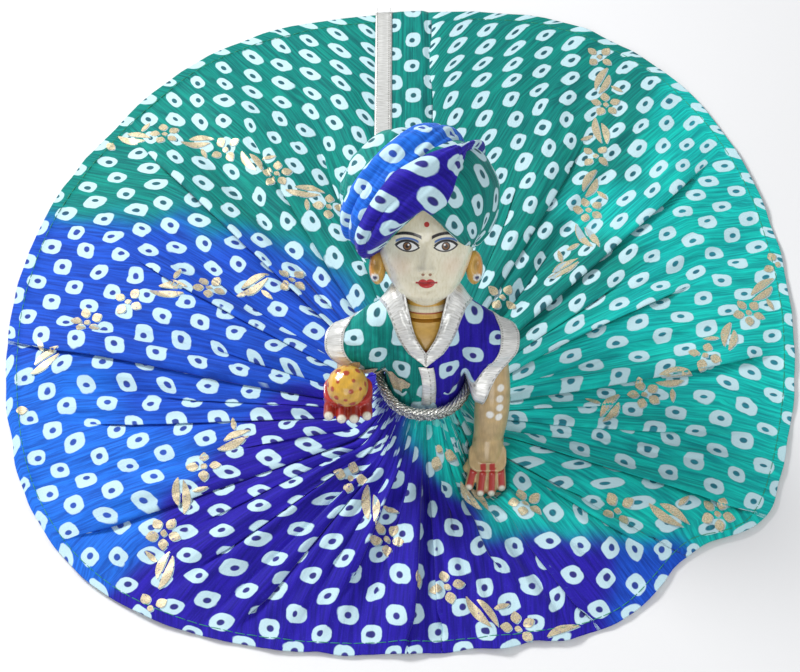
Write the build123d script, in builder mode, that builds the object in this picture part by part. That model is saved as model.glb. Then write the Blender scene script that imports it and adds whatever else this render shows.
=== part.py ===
"""Painted, peg-jointed child figure in a printed full-circle skirt, a wrap bodice and a wound turban.

Millimetres. The figure faces -Y and looks up; +X is its left-hand side; the skirt lies on Z = 0.
"Right" and "left" in the names are the figure's own.
"""

import os
from math import cos, radians, sin

from build123d import *

# ---- driving dimensions ----
FIGURE_X = 9.0  # the figure sits a little to its own left of the skirt's centre
CLOTH = 1.2  # a layer of cloth with its lining
RIBBON = 0.8  # metallic ribbon
RIBBON_WIDTH = 8.0
LAYER_GAP = 0.2  # between a ribbon and the cloth under it
HEAD_TILT = 47.0  # the face looks this far above the horizon
TORSO_LEAN = 25.0
NECK_LEAN = 35.0

# figure
HEAD_CENTRE = Vector(FIGURE_X, -27.4, 78.4)
NECK_FOOT = Vector(FIGURE_X, -46.0, 60.0)
NECK_RADIUS = 10.0
NECK_GAP = 0.4  # between the turning neck and the torso
DOWEL_RADIUS = 3.0
DOWEL_LENGTH = 22.0
DOWEL_SINK = 12.0  # how far the neck dowel reaches into the torso
RUNNING = 0.06  # radial clearance of a peg that turns in its hole
SHOULDER = Vector(0, -54.0, 47.5)  # on the arms' axis, which runs along X
PEG_RADIUS = 2.0
PEG_INNER, PEG_OUTER = 8.0, 27.0  # the shoulder pegs' ends, from the figure's middle
ARM_INNER = 19.4  # arms and sleeves stay outside this, chest and bodice inside BODICE_HALF
BODICE_HALF = 19.0
BALL_RADIUS = 8.0
BALL_CENTRE = Vector(-21.2, -74.4, 50.0)

# skirt
WAIST_Z = 24.0
WAIST_CENTRE_Y = -60.0
WAIST_RADII = (16.5, 15.5)
HEM_POINTS = [
    (168, 8), (162, 52), (146, 96), (116, 135), (74, 160), (24, 165), (-28, 161), (-80, 145), (-122, 108),
    (-152, 61), (-167, 12), (-167, -42), (-153, -96), (-119, -138), (-70, -159), (-12, -165), (46, -161),
    (88, -149), (106, -131), (119, -119), (138, -113), (154, -88), (165, -44),
]

# back opening of the skirt
FLAP_HINGE_X = 12.0
FLAP_FREE_X = -12.6
FLAP_START_Y = 26.0
FLAP_Z = 2.2  # underside of the flap at rest
HINGE_GAP = 0.4
SLIT = (8.5, 11.5)  # the bare gap that the flap hides
PATCH = (12.0, 15.0, 0.42)  # hook and loop patches

os.makedirs("parts", exist_ok=True)


def tilted(centre, lean):
    """A plane across an axis that leans back by lean degrees: x is world X, z points up the axis."""
    return Plane(origin=centre, x_dir=(1, 0, 0), z_dir=(0, sin(radians(lean)), cos(radians(lean))))


def across(point, towards):
    """A plane at point, square to the way towards another point."""
    return Plane(origin=point, x_dir=(1, 0, 0), z_dir=towards)


def stack_of_ellipses(sections, base, grow=0.0):
    """Lofts ellipses (height, centre back from the axis, half width, half depth) along base's z."""
    with BuildPart(mode=Mode.PRIVATE) as body:
        for height, back, half_width, half_depth in sections:
            with BuildSketch(base.offset(height)):
                with Locations((0, back)):
                    Ellipse(half_width + grow, half_depth + grow)
        loft()
    return body.part


def limb(stations):
    """Lofts circles (point, radius) square to the way from one station to the next."""
    points = [Vector(*point) for point, _ in stations]
    with BuildPart(mode=Mode.PRIVATE) as body:
        for i, (point, (_, radius)) in enumerate(zip(points, stations)):
            ahead = points[min(i + 1, len(points) - 1)]
            behind = points[max(i - 1, 0)]
            with BuildSketch(across(point, ahead - behind)):
                Circle(radius)
        loft()
    return body.part


def finger(root, tip, radius):
    """A round-ended finger from root to tip."""
    root, tip = Vector(*root), Vector(*tip)
    with BuildPart(mode=Mode.PRIVATE) as body:
        with BuildSketch(across(root, tip - root)):
            Circle(radius)
        extrude(amount=(tip - root).length)
        with Locations(tip):
            Sphere(radius)
    return body.part


def finish(builder, name):
    """Labels a piece and writes it."""
    builder.part.label = name
    export_step(builder.part, f"parts/{name}.step")


# ---- torso and legs ----
# centre y, centre z, lean, half width, half depth, from the seat up to the foot of the neck
TORSO_SECTIONS = [
    (-55.0, 3.0, 4.0, 13.0, 12.0),
    (-57.0, 11.0, 9.0, 16.0, 14.5),
    (-59.5, 28.0, 20.0, 13.0, 11.0),
    (-55.5, 40.0, TORSO_LEAN, 15.5, 11.6),
    (-51.0, 51.0, TORSO_LEAN, 17.0, 9.8),
    (-46.8, 59.5, 30.0, 11.0, 9.0),
]


def torso_skin(grow, first=0, lift=0.0):
    """The torso's loft, grown sideways by grow; clothes start at section first and rise by lift."""
    with BuildPart(mode=Mode.PRIVATE) as body:
        for i, (y, z, lean, half_width, half_depth) in enumerate(TORSO_SECTIONS[first:]):
            raised = lift if first + i == len(TORSO_SECTIONS) - 1 else 0.0
            with BuildSketch(tilted(Vector(FIGURE_X, y, z), lean).offset(raised)):
                Ellipse(half_width + grow, half_depth + grow)
        loft()
    return body.part


neck_plane = tilted(NECK_FOOT, NECK_LEAN)
peg_plane = Plane(origin=(FIGURE_X, SHOULDER.Y, SHOULDER.Z), x_dir=(0, 1, 0), z_dir=(1, 0, 0))

with BuildPart() as torso:
    add(torso_skin(0.0))
    # a level seat to stand on, and a level top for the neck to turn on
    split(bisect_by=Plane.XY.offset(0.4), keep=Keep.TOP)
    split(bisect_by=neck_plane, keep=Keep.BOTTOM)
    with BuildSketch(neck_plane):
        Circle(DOWEL_RADIUS + RUNNING)
    extrude(amount=-(DOWEL_SINK + 1.0), mode=Mode.SUBTRACT)
    for side in (-1, 1):
        with BuildSketch(peg_plane.offset(side * PEG_INNER)):
            Circle(PEG_RADIUS)
        extrude(amount=side * (PEG_OUTER - PEG_INNER), mode=Mode.SUBTRACT)
finish(torso, "torso")

for side, name in ((-1, "right"), (1, "left")):
    with BuildPart() as leg:
        hip = (FIGURE_X + side * 9.0, -57.0, 12.0)
        knee = (FIGURE_X + side * 10.0, -72.0, 7.2)
        heel = (FIGURE_X + side * 10.5, -36.0, 5.2)
        add(limb([(hip, 7.0), ((hip[0], -65.0, 10.0), 6.8), (knee, 6.2)]))
        with Locations(knee):
            Sphere(6.2)
        add(limb([(knee, 6.0), ((knee[0], -54.0, 6.0), 5.4), (heel, 4.4)]))
        with Locations(heel):
            Sphere(4.4)
        add(finger(heel, (heel[0], -30.0, 4.4), 3.6))
        split(bisect_by=Plane.XY.offset(0.4), keep=Keep.TOP)
        add(torso.part, mode=Mode.SUBTRACT)
    finish(leg, f"{name}_leg")

# ---- head ----
head_plane = tilted(HEAD_CENTRE, HEAD_TILT)
# height up the head, centre behind the head's axis, half width, half depth
HEAD_SECTIONS = [
    (-22.0, -8.0, 5.0, 4.4),
    (-18.5, -5.5, 10.0, 8.8),
    (-11.0, -1.0, 15.2, 14.4),
    (-2.0, 2.0, 18.2, 17.8),
    (7.0, 3.0, 18.4, 19.0),
    (16.0, 3.0, 15.4, 16.4),
    (21.5, 3.0, 9.4, 10.4),
    (23.4, 3.0, 4.6, 5.2),
]
EAR_AT = (18.0, 1.0, -9.5)
EAR_SIZE = (3.8, 6.4)


def spheroid(wide, high):
    """A sphere of radius wide, drawn out to half height high along Z, a little flat at its poles."""
    with BuildPart(mode=Mode.PRIVATE) as body:
        with BuildSketch(Plane.XZ):
            Ellipse(wide, high)
            with Locations((wide, 0)):
                Rectangle(2 * wide, 1.98 * high, mode=Mode.INTERSECT)
        revolve(axis=Axis.Z)
    return body.part


with BuildPart() as head:
    add(stack_of_ellipses(HEAD_SECTIONS, head_plane))
    with BuildSketch(neck_plane.offset(NECK_GAP)):
        Circle(NECK_RADIUS)
    extrude(amount=14.0)
    for side in (-1, 1):
        add(head_plane.location * Pos(side * EAR_AT[0], *EAR_AT[1:]) * spheroid(*EAR_SIZE))
    with BuildSketch(neck_plane.offset(NECK_GAP)):
        Circle(DOWEL_RADIUS)
    extrude(amount=DOWEL_LENGTH - DOWEL_SINK - NECK_GAP, mode=Mode.SUBTRACT)
finish(head, "head")

with BuildPart() as neck_dowel:
    with BuildSketch(neck_plane.offset(-DOWEL_SINK)):
        Circle(DOWEL_RADIUS)
    extrude(amount=DOWEL_LENGTH)
finish(neck_dowel, "neck_dowel")

# ---- arms ----
LEFT_ARM = [
    ((34.5, -54.0, 47.5), 6.2), ((35.2, -60.5, 41.0), 6.6), ((35.6, -67.0, 33.5), 7.0),
    ((35.2, -73.5, 24.5), 6.8), ((34.4, -77.6, 16.6), 5.9),
]
RIGHT_ARM = [
    ((-16.5, -54.0, 47.5), 6.2), ((-18.2, -51.4, 41.5), 6.2), ((-19.6, -51.5, 36.0), 6.2),
    ((-20.4, -57.0, 33.0), 5.8), ((-21.0, -66.8, 36.8), 5.2),
]
LEFT_FINGERS = [
    ((28.6, -87.6, 8.0), (26.8, -94.0, 3.9)), ((32.2, -88.6, 8.2), (31.2, -96.6, 3.6)),
    ((35.9, -88.6, 8.2), (35.6, -96.6, 3.6)), ((39.4, -87.6, 8.0), (39.8, -94.4, 3.9)),
]
RIGHT_FINGERS = [
    ((-28.4, -76.0, 39.4), (-28.6, -80.8, 38.6)), ((-23.6, -76.2, 39.4), (-23.6, -82.0, 38.4)),
    ((-18.8, -76.2, 39.4), (-18.8, -82.0, 38.4)), ((-14.0, -76.0, 39.4), (-13.8, -80.8, 38.6)),
]
FINGER_RADIUS = 2.2


def make_arm(side, stations):
    """An arm down to the wrist, with a round shoulder bored for its peg."""
    with BuildPart(mode=Mode.PRIVATE) as arm:
        add(limb(stations))
        shoulder_face = peg_plane.offset(side * ARM_INNER)
        with BuildSketch(shoulder_face):
            Circle(7.6)
        extrude(amount=side * 10.8)
        with BuildSketch(shoulder_face):
            Circle(PEG_RADIUS + RUNNING)
        extrude(amount=side * (PEG_OUTER + 0.3 - ARM_INNER), mode=Mode.SUBTRACT)
        # the upper arm stays clear of the chest
        split(bisect_by=peg_plane.offset(side * ARM_INNER), keep=Keep.TOP if side > 0 else Keep.BOTTOM)
    return arm.part


with BuildPart() as left_arm:
    add(make_arm(1, LEFT_ARM))
    add(limb([((34.5, -77.2, 17.6), 5.9), ((34.1, -81.0, 13.2), 6.2), ((34.0, -85.6, 9.8), 5.0)]))
    palm_plane = Plane(origin=(34.0, -84.6, 10.8), x_dir=(1, 0, 0), z_dir=(0, -0.42, 0.91))
    with BuildSketch(palm_plane.offset(-3.2)):
        RectangleRounded(15.0, 12.0, 4.0)
    extrude(amount=6.0)
    for root, tip in LEFT_FINGERS:
        add(finger(root, tip, FINGER_RADIUS - 0.3))
    add(finger((31.0, -81.0, 10.6), (26.2, -87.0, 6.2), FINGER_RADIUS - 0.2))
finish(left_arm, "left_arm")

with BuildPart() as right_arm:
    add(make_arm(-1, RIGHT_ARM))
    palm_plane = Plane(origin=(-21.2, -71.6, 39.6), x_dir=(1, 0, 0), z_dir=(0, 0, 1))
    with BuildSketch(palm_plane.offset(-3.4)):
        RectangleRounded(19.0, 12.0, 4.5)
    extrude(amount=6.8)
    for root, tip in RIGHT_FINGERS:
        add(finger(root, tip, FINGER_RADIUS))
    with Locations(BALL_CENTRE):
        Sphere(BALL_RADIUS, mode=Mode.SUBTRACT)
finish(right_arm, "right_arm")

with BuildPart() as sweet_ball:
    with Locations(BALL_CENTRE):
        Sphere(BALL_RADIUS)
finish(sweet_ball, "sweet_ball")

for side, name in ((-1, "right"), (1, "left")):
    with BuildPart() as peg:
        with BuildSketch(peg_plane.offset(side * PEG_INNER)):
            Circle(PEG_RADIUS)
        extrude(amount=side * (PEG_OUTER - PEG_INNER))
    finish(peg, f"{name}_shoulder_peg")

# ---- skirt ----
DOME_SECTIONS = [  # height, centre y, half width, half depth
    (0.0, -53.0, 34.0, 42.0),
    (12.0, -56.0, 22.5, 28.5),
    (WAIST_Z, WAIST_CENTRE_Y, *WAIST_RADII),
]


def dome(shrink):
    """The skirt's rise over the legs up to the waist."""
    with BuildPart(mode=Mode.PRIVATE) as body:
        for z, y, half_width, half_depth in DOME_SECTIONS:
            with BuildSketch(Plane.XY.offset(z)):
                with Locations((FIGURE_X, y)):
                    Ellipse(half_width - shrink, half_depth - shrink)
        loft()
    return body.part


def hem_face():
    """The skirt's outline as it lies."""
    with BuildSketch(mode=Mode.PRIVATE) as outline:
        with BuildLine():
            Spline(*HEM_POINTS, periodic=True)
        make_face()
    return outline.sketch


with BuildPart() as skirt_cloth:
    extrude(hem_face(), amount=CLOTH)
    add(dome(0.0))
    add(dome(CLOTH), mode=Mode.SUBTRACT)
    with BuildSketch():
        with Locations(((SLIT[0] + SLIT[1]) / 2, FLAP_START_Y + 100)):
            Rectangle(SLIT[1] - SLIT[0], 200)
    extrude(amount=CLOTH, mode=Mode.SUBTRACT)
finish(skirt_cloth, "skirt_cloth")

with BuildPart() as skirt_waistband:
    with BuildSketch(Plane.XY.offset(WAIST_Z)):
        with Locations((FIGURE_X, WAIST_CENTRE_Y)):
            Ellipse(*WAIST_RADII)
            Ellipse(WAIST_RADII[0] - CLOTH, WAIST_RADII[1] - CLOTH, mode=Mode.SUBTRACT)
    extrude(amount=3.5)
finish(skirt_waistband, "skirt_waistband")


# ---- back opening ----
def flap_strip(x_low, x_high, z_low, thickness, y_start=FLAP_START_Y):
    """A strip along the back opening, cut to the hem's line."""
    with BuildPart(mode=Mode.PRIVATE) as strip:
        with BuildSketch(Plane.XY.offset(z_low)):
            add(hem_face())
            with Locations(((x_low + x_high) / 2, y_start + 100)):
                Rectangle(x_high - x_low, 200, mode=Mode.INTERSECT)
        extrude(amount=thickness)
    return strip.part


with BuildPart() as placket_flap:
    add(flap_strip(FLAP_FREE_X, FLAP_HINGE_X - HINGE_GAP, FLAP_Z, CLOTH - 0.2))
finish(placket_flap, "placket_flap")

with BuildPart() as placket_ribbon:
    add(flap_strip(FLAP_FREE_X, FLAP_FREE_X + RIBBON_WIDTH, FLAP_Z + CLOTH - 0.2, RIBBON))
finish(placket_ribbon, "placket_ribbon")

for name, base in (("closure_loop_patch", CLOTH), ("closure_hook_patch", FLAP_Z - PATCH[2])):
    with BuildPart() as patch:
        with BuildSketch(Plane.XY.offset(base)):
            with Locations((-3.0, FLAP_START_Y + 12.0)):
                RectangleRounded(PATCH[0], PATCH[1], 1.5)
        extrude(amount=PATCH[2])
    finish(patch, name)

# ---- bodice ----
# chest coordinates: x across, y up the chest, seen from the front
chest_way = Vector(0, -cos(radians(TORSO_LEAN)), sin(radians(TORSO_LEAN)))
chest_plane = Plane(origin=(FIGURE_X, -62.0, 55.0), x_dir=(1, 0, 0), z_dir=chest_way)
V_TOP = 15.0  # how far the V neck opens above its point
V_HALF = 11.5
HEM_DROP = 30.0  # from the V's point down to below the bodice's lower edge
BODICE_LOW_Z = 28.6
BODICE_EASE = 0.8  # between the torso and the bodice
ARMHOLE_RADIUS = 6.0


def chest_prism(*points):
    """A prism through the front of the chest over the polygon of points."""
    with BuildPart(mode=Mode.PRIVATE) as prism:
        with BuildSketch(chest_plane.offset(-9.0)):
            with BuildLine():
                Polyline(*points, close=True)
            make_face()
        extrude(amount=40.0)
    return prism.part


def shell(inner, outer):
    """A layer of the torso's skin between two growths, from the waist up."""
    with BuildPart(mode=Mode.PRIVATE) as body:
        add(torso_skin(outer, first=2, lift=outer))
        add(torso_skin(inner, first=2, lift=inner), mode=Mode.SUBTRACT)
        split(bisect_by=Plane.XY.offset(BODICE_LOW_Z), keep=Keep.TOP)
        with BuildSketch(neck_plane.offset(-8.0)):
            Circle(NECK_RADIUS + 1.6)
        extrude(amount=30.0, mode=Mode.SUBTRACT)
        with BuildSketch(peg_plane.offset(-40)):
            Circle(ARMHOLE_RADIUS)
        extrude(amount=80.0, mode=Mode.SUBTRACT)
    return body.part


bodice_shell = shell(BODICE_EASE, BODICE_EASE + CLOTH)
front_box = chest_prism((-40, -45), (40, -45), (40, 40), (-40, 40))

for side, name in ((-1, "right"), (1, "left")):
    with BuildPart() as panel:
        add(bodice_shell)
        edge = side * BODICE_HALF
        foot = (0.0, -HEM_DROP), (edge, -HEM_DROP)
        neck = (edge, V_TOP + 8), (side * V_HALF, V_TOP + 8), (side * V_HALF, V_TOP)
        add(chest_prism((0.0, 0.0), *foot, *neck), mode=Mode.INTERSECT)
    finish(panel, f"bodice_front_{name}")

    with BuildPart() as ribbon:
        add(shell(BODICE_EASE + CLOTH + LAYER_GAP, BODICE_EASE + CLOTH + LAYER_GAP + RIBBON))
        gap = side * 0.15
        add(
            chest_prism((gap, -10.0), (gap, 0.0), (side * V_HALF, V_TOP), (side * (V_HALF + 8.0), V_TOP)),
            mode=Mode.INTERSECT,
        )
    finish(ribbon, f"neck_ribbon_{name}")

with BuildPart() as front_ribbon_tail:
    add(shell(BODICE_EASE + CLOTH + LAYER_GAP, BODICE_EASE + CLOTH + LAYER_GAP + RIBBON))
    half = RIBBON_WIDTH / 2 - 1.0
    tail = chest_prism((-half, -HEM_DROP), (half, -HEM_DROP), (half, -6.6), (0, -10.4), (-half, -6.6))
    add(tail, mode=Mode.INTERSECT)
finish(front_ribbon_tail, "front_ribbon_tail")

with BuildPart() as bodice_back:
    add(bodice_shell)
    add(front_box, mode=Mode.SUBTRACT)
    with BuildSketch(Plane.XY.offset(10)):
        with Locations((FIGURE_X, -50)):
            Rectangle(2 * BODICE_HALF, 120)
    extrude(amount=100, mode=Mode.INTERSECT)
finish(bodice_back, "bodice_back")

BELT_RADII = (17.0, 16.6)
belt_plane = tilted(Vector(FIGURE_X, -58.4, 31.6), 5.0)
with BuildPart() as waist_belt:
    with BuildSketch(belt_plane.offset(-2.2)):
        Ellipse(BELT_RADII[0] + 0.6, BELT_RADII[1] + 0.6)
        Ellipse(BELT_RADII[0] - 0.6, BELT_RADII[1] - 0.6, mode=Mode.SUBTRACT)
    extrude(amount=4.4)
finish(waist_belt, "waist_belt")

# ---- sleeves: loose covers over the shoulders, cut slantwise from the shoulder's tip inwards ----
SLEEVE_INNER = 9.9  # inside radius
SLEEVE_CUT = {-1: (-0.55, -0.12, -0.83), 1: (0.62, -0.42, -0.66)}  # the way the open end faces
SLEEVE_REACH = {-1: 6.0, 1: 7.0}  # from the shoulder's centre to the cut


def half_space(origin, normal):
    """A large block that lies beyond the plane through origin."""
    with BuildPart(mode=Mode.PRIVATE) as block:
        with BuildSketch(Plane(origin=origin, z_dir=normal)):
            Rectangle(400, 400)
        extrude(amount=200)
    return block.part


def sleeve_layer(side, stations, inner, outer, reach_from=None):
    """A layer of the sleeve between two radii; from reach_from only, for a band along its edge."""
    centre = Vector(*stations[0][0])
    way = Vector(*SLEEVE_CUT[side])
    with BuildPart(mode=Mode.PRIVATE) as layer:
        for radius, mode in ((outer, Mode.ADD), (inner, Mode.SUBTRACT)):
            with Locations(centre):
                Sphere(radius, mode=mode)
            with BuildSketch(across(centre, Vector(*stations[2][0]) - centre)):
                Circle(radius)
            extrude(amount=34.0, mode=mode)
        add(half_space(centre + way * SLEEVE_REACH[side], way), mode=Mode.SUBTRACT)
        if reach_from is not None:
            add(half_space(centre + way * reach_from, -way), mode=Mode.SUBTRACT)
        chest_side = Vector(FIGURE_X + side * (ARM_INNER + 0.6), 0, 50)
        add(half_space(chest_side, (-side, 0, 0)), mode=Mode.SUBTRACT)
    return layer.part


for side, name, stations in ((-1, "right", RIGHT_ARM), (1, "left", LEFT_ARM)):
    with BuildPart() as sleeve:
        add(sleeve_layer(side, stations, SLEEVE_INNER, SLEEVE_INNER + CLOTH))
    finish(sleeve, f"{name}_sleeve")
    with BuildPart() as sleeve_ribbon:
        low = SLEEVE_INNER + CLOTH + LAYER_GAP
        start = SLEEVE_REACH[side] - RIBBON_WIDTH * 0.8
        add(sleeve_layer(side, stations, low, low + RIBBON, start))
    finish(sleeve_ribbon, f"{name}_sleeve_ribbon")

# ---- turban ----
# in the head's frame: x across, y back, z up the head
TURBAN_CENTRE = (-2.6, 5.0, 17.0)
TURBAN_RADIUS, TURBAN_HALF_HEIGHT = 31.0, 27.0
CORE_SHARE = 0.84  # the padded core under the wraps, as a share of the turban's size
CORE_EASE = 0.6
BROW_FRONT, BROW_SLOPE, BROW_TILT = 16.5, 35.0, -14.0
# the wraps' edges: the way they climb, and how far out from the head's centre
WRAP_EDGES = [((-0.56, 0.20, 0.80), 6.5), ((-0.74, 0.32, 0.59), 18.0), ((-0.74, 0.32, 0.59), 29.0)]
WRAPS = ["turban_wrap_teal", "turban_wrap_navy", "turban_wrap_blue", "turban_crown"]


def in_head(x, y, z):
    """A point of the head's frame in the row frame."""
    return head_plane.from_local_coords(Vector(x, y, z))


def egg(share):
    """The turban's outer form, or a smaller copy of it."""
    shape = spheroid(TURBAN_RADIUS * share, TURBAN_HALF_HEIGHT * share)
    return head_plane.location * Pos(*TURBAN_CENTRE) * shape


def face_opening():
    """What the turban leaves free: the room for the head, and all below the brow line."""
    wide, deep = HEAD_SECTIONS[4][2:]
    room = [(-30.0, 3.0, wide, deep), (7.5, 3.0, wide, deep)]
    room += [(z + CORE_EASE, back, *radii) for z, back, *radii in HEAD_SECTIONS[5:]]
    with BuildPart(mode=Mode.PRIVATE) as body:
        for z, back, half_width, half_depth in room:
            with BuildSketch(head_plane.offset(z)):
                with Locations((0, back)):
                    Ellipse(half_width + CORE_EASE, half_depth + CORE_EASE)
        loft(ruled=True)
        brow_point = in_head(0, -HEAD_SECTIONS[4][3], BROW_FRONT)
        brow = Plane(origin=brow_point, x_dir=(1, 0, 0), z_dir=-head_plane.y_dir)
        with BuildSketch(brow.rotated((BROW_TILT, 0, 0)).offset(-100)):
            with BuildLine():
                drop = -60 * sin(radians(BROW_SLOPE)) / cos(radians(BROW_SLOPE))
                Polyline((0, 0), (60, drop), (60, -80), (-60, -80), (-60, drop), close=True)
            make_face()
        extrude(amount=160)
    return body.part


opening = face_opening()
with BuildPart() as turban_core:
    add(egg(CORE_SHARE))
    add(opening, mode=Mode.SUBTRACT)
finish(turban_core, "turban_core")


def beyond(edge):
    """All that lies beyond one edge of the wraps."""
    (x, y, z), distance = edge
    way = head_plane.x_dir * x + head_plane.y_dir * y + head_plane.z_dir * z
    return half_space(head_plane.origin + way * distance, way)


for i, name in enumerate(WRAPS):
    with BuildPart() as wrap:
        add(egg(1.0))
        if i > 0:
            add(beyond(WRAP_EDGES[i - 1]), mode=Mode.INTERSECT)
        if i < len(WRAP_EDGES):
            add(beyond(WRAP_EDGES[i]), mode=Mode.SUBTRACT)
        add(egg(CORE_SHARE), mode=Mode.SUBTRACT)
        add(opening, mode=Mode.SUBTRACT)
    finish(wrap, name)
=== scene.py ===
"""Looks of the dressed, peg-jointed figure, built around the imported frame.

Lengths here are millimetres in the row frame; they become metres where a mesh is made.
The figure faces -Y, +X is its left, and the skirt lies on Z = 0.
"""

from math import cos, pi, radians, sin, tan

import bpy
import numpy as np
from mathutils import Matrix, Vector, noise
from mathutils.bvhtree import BVHTree


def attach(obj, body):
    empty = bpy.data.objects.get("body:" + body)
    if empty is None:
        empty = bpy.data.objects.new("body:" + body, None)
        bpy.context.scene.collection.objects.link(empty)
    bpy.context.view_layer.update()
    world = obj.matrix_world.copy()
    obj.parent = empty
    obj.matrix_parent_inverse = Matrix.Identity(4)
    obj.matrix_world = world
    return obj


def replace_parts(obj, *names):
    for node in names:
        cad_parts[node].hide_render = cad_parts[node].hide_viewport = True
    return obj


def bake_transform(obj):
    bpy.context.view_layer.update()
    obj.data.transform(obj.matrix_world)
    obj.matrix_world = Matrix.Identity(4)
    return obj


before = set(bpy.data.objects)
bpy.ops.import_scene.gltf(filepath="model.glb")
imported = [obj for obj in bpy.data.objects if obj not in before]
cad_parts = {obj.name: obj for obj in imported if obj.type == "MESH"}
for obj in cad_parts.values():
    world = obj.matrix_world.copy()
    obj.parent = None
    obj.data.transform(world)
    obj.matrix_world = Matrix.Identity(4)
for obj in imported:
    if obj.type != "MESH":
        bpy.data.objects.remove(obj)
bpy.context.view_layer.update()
MM = 0.001
rng = np.random.default_rng(7)

# ---- the figure's places, as in the CAD model ----
FIGURE_X = 9.0
HEAD = np.array([FIGURE_X, -27.4, 78.4])
HEAD_TILT = radians(47)
UP = np.array([0, sin(HEAD_TILT), cos(HEAD_TILT)])
BACK = np.array([0, cos(HEAD_TILT), -sin(HEAD_TILT)])
NECK_FOOT = np.array([FIGURE_X, -46.0, 60.0])
NECK_WAY = np.array([0, sin(radians(35)), cos(radians(35))])
SHOULDER_Y, SHOULDER_Z = -54.0, 47.5
BALL = np.array([-21.2, -74.4, 50.0])
BALL_RADIUS = 8.0
WAIST = np.array([FIGURE_X, -60.0])
WAIST_Z = 24.0
WAIST_RADII = (16.5, 15.5)
BELT = np.array([FIGURE_X, -58.4, 31.6])
BELT_RADII = (17.0, 16.6)
FLAP_X = (-12.6, 12.0)
FLAP_Y = 26.0

# ---- colours, linear ----
TEAL = (0.002, 0.235, 0.205)
TURQUOISE = (0.004, 0.50, 0.46)
SKY = (0.012, 0.15, 0.74)
ROYAL = (0.009, 0.075, 0.56)
NAVY = (0.018, 0.008, 0.36)
PALE = (0.56, 0.78, 0.84)
FOIL = (0.62, 0.47, 0.26)
IVORY = (0.80, 0.74, 0.54)
OCHRE = (0.62, 0.36, 0.06)
SKIN_WOOD = (0.56, 0.40, 0.19)
RED = (0.46, 0.022, 0.012)
BLACK = (0.012, 0.010, 0.012)
WHITE = (0.88, 0.88, 0.84)


# ---------------------------------------------------------------- small tools
def smooth(low, high, x):
    """0 below low, 1 above high, and a soft step between."""
    t = np.clip((np.asarray(x, float) - low) / (high - low), 0, 1)
    return t * t * (3 - 2 * t)


def wobble(x, y, seed):
    """Smooth noise from about -1 to 1 at each pair of x and y."""
    x, y = np.broadcast_arrays(x, y)
    flat = [noise.noise((a, b, seed)) for a, b in zip(x.ravel(), y.ravel())]
    return np.array(flat).reshape(x.shape) * 1.6


def unit(v):
    """Vectors at length 1."""
    v = np.asarray(v, float)
    return v / np.linalg.norm(v, axis=-1, keepdims=True)


def from_head(x, y, z):
    """Points of the head's frame (x across, y back, z up the head) in the row frame."""
    x, y, z = np.broadcast_arrays(x, y, z)
    return HEAD + x[..., None] * np.array([1.0, 0, 0]) + y[..., None] * BACK + z[..., None] * UP


def grid_faces(rows, columns, wrap=False):
    """Quads of a grid of points, as indices."""
    i, j = np.meshgrid(np.arange(rows - 1), np.arange(columns if wrap else columns - 1), indexing="ij")
    k = (j + 1) % columns
    quads = np.stack([i * columns + j, i * columns + k, (i + 1) * columns + k, (i + 1) * columns + j], -1)
    return quads.reshape(-1, 4)


def paint_points(mesh, colours):
    """Gives each point of a mesh its own ground colour."""
    layer = mesh.color_attributes.new(name="ground", type="FLOAT_COLOR", domain="POINT")
    rgba = np.ones((len(mesh.vertices), 4))
    rgba[:, :3] = np.asarray(colours, float).reshape(-1, 3)
    layer.data.foreach_set("color", rgba.ravel())


def blend_in(colours, mask, paint):
    """Colours with a paint laid over them where mask is 1."""
    return colours * (1 - mask[..., None]) + np.array(paint) * mask[..., None]


def make(name, points, faces, material, uv=None, colour=None):
    """A mesh object; points in millimetres, uv in millimetres, colour per point."""
    mesh = bpy.data.meshes.new(name)
    points = np.asarray(points, float).reshape(-1, 3)
    mesh.from_pydata((points * MM).tolist(), [], [list(map(int, f)) for f in faces])
    if uv is not None:
        index = np.zeros(len(mesh.loops), np.int32)
        mesh.loops.foreach_get("vertex_index", index)
        layer = mesh.uv_layers.new(name="cloth")
        layer.data.foreach_set("uv", (np.asarray(uv, float).reshape(-1, 2) * MM)[index].ravel())
    if colour is not None:
        paint_points(mesh, colour)
    mesh.polygons.foreach_set("use_smooth", [True] * len(mesh.polygons))
    mesh.materials.append(material)
    mesh.update()
    obj = bpy.data.objects.new(name, mesh)
    bpy.context.scene.collection.objects.link(obj)
    return obj


def settle(obj):
    """Applies the modifiers of obj to its mesh."""
    bpy.context.view_layer.update()
    graph = bpy.context.evaluated_depsgraph_get()
    old = obj.data
    obj.data = bpy.data.meshes.new_from_object(obj.evaluated_get(graph), depsgraph=graph)
    obj.modifiers.clear()
    bpy.data.meshes.remove(old)
    return obj


def thicken(obj, thickness, offset=-1.0):
    """Gives a sheet its thickness, in millimetres."""
    solid = obj.modifiers.new("thickness", "SOLIDIFY")
    solid.thickness = thickness * MM
    solid.offset = offset
    solid.use_even_offset = False
    return settle(obj)


def weld(obj):
    """Joins points that lie together, where two edges of a grid meet."""
    join = obj.modifiers.new("weld", "WELD")
    join.merge_threshold = 0.02 * MM
    return settle(obj)


def dress(node, material):
    """Gives a CAD part that is kept its material."""
    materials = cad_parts[node].data.materials
    materials.clear()
    materials.append(material)


def tree_of(*objects, extra=([], [])):
    """One search tree over several objects' meshes and one more (points, faces) pair, in millimetres."""
    points, faces = [Vector(p) for p in extra[0]], [list(f) for f in extra[1]]
    for o in objects:
        start = len(points)
        points += [v.co / MM for v in o.data.vertices]
        faces += [[start + i for i in p.vertices] for p in o.data.polygons]
    return BVHTree.FromPolygons(points, faces)


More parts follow.
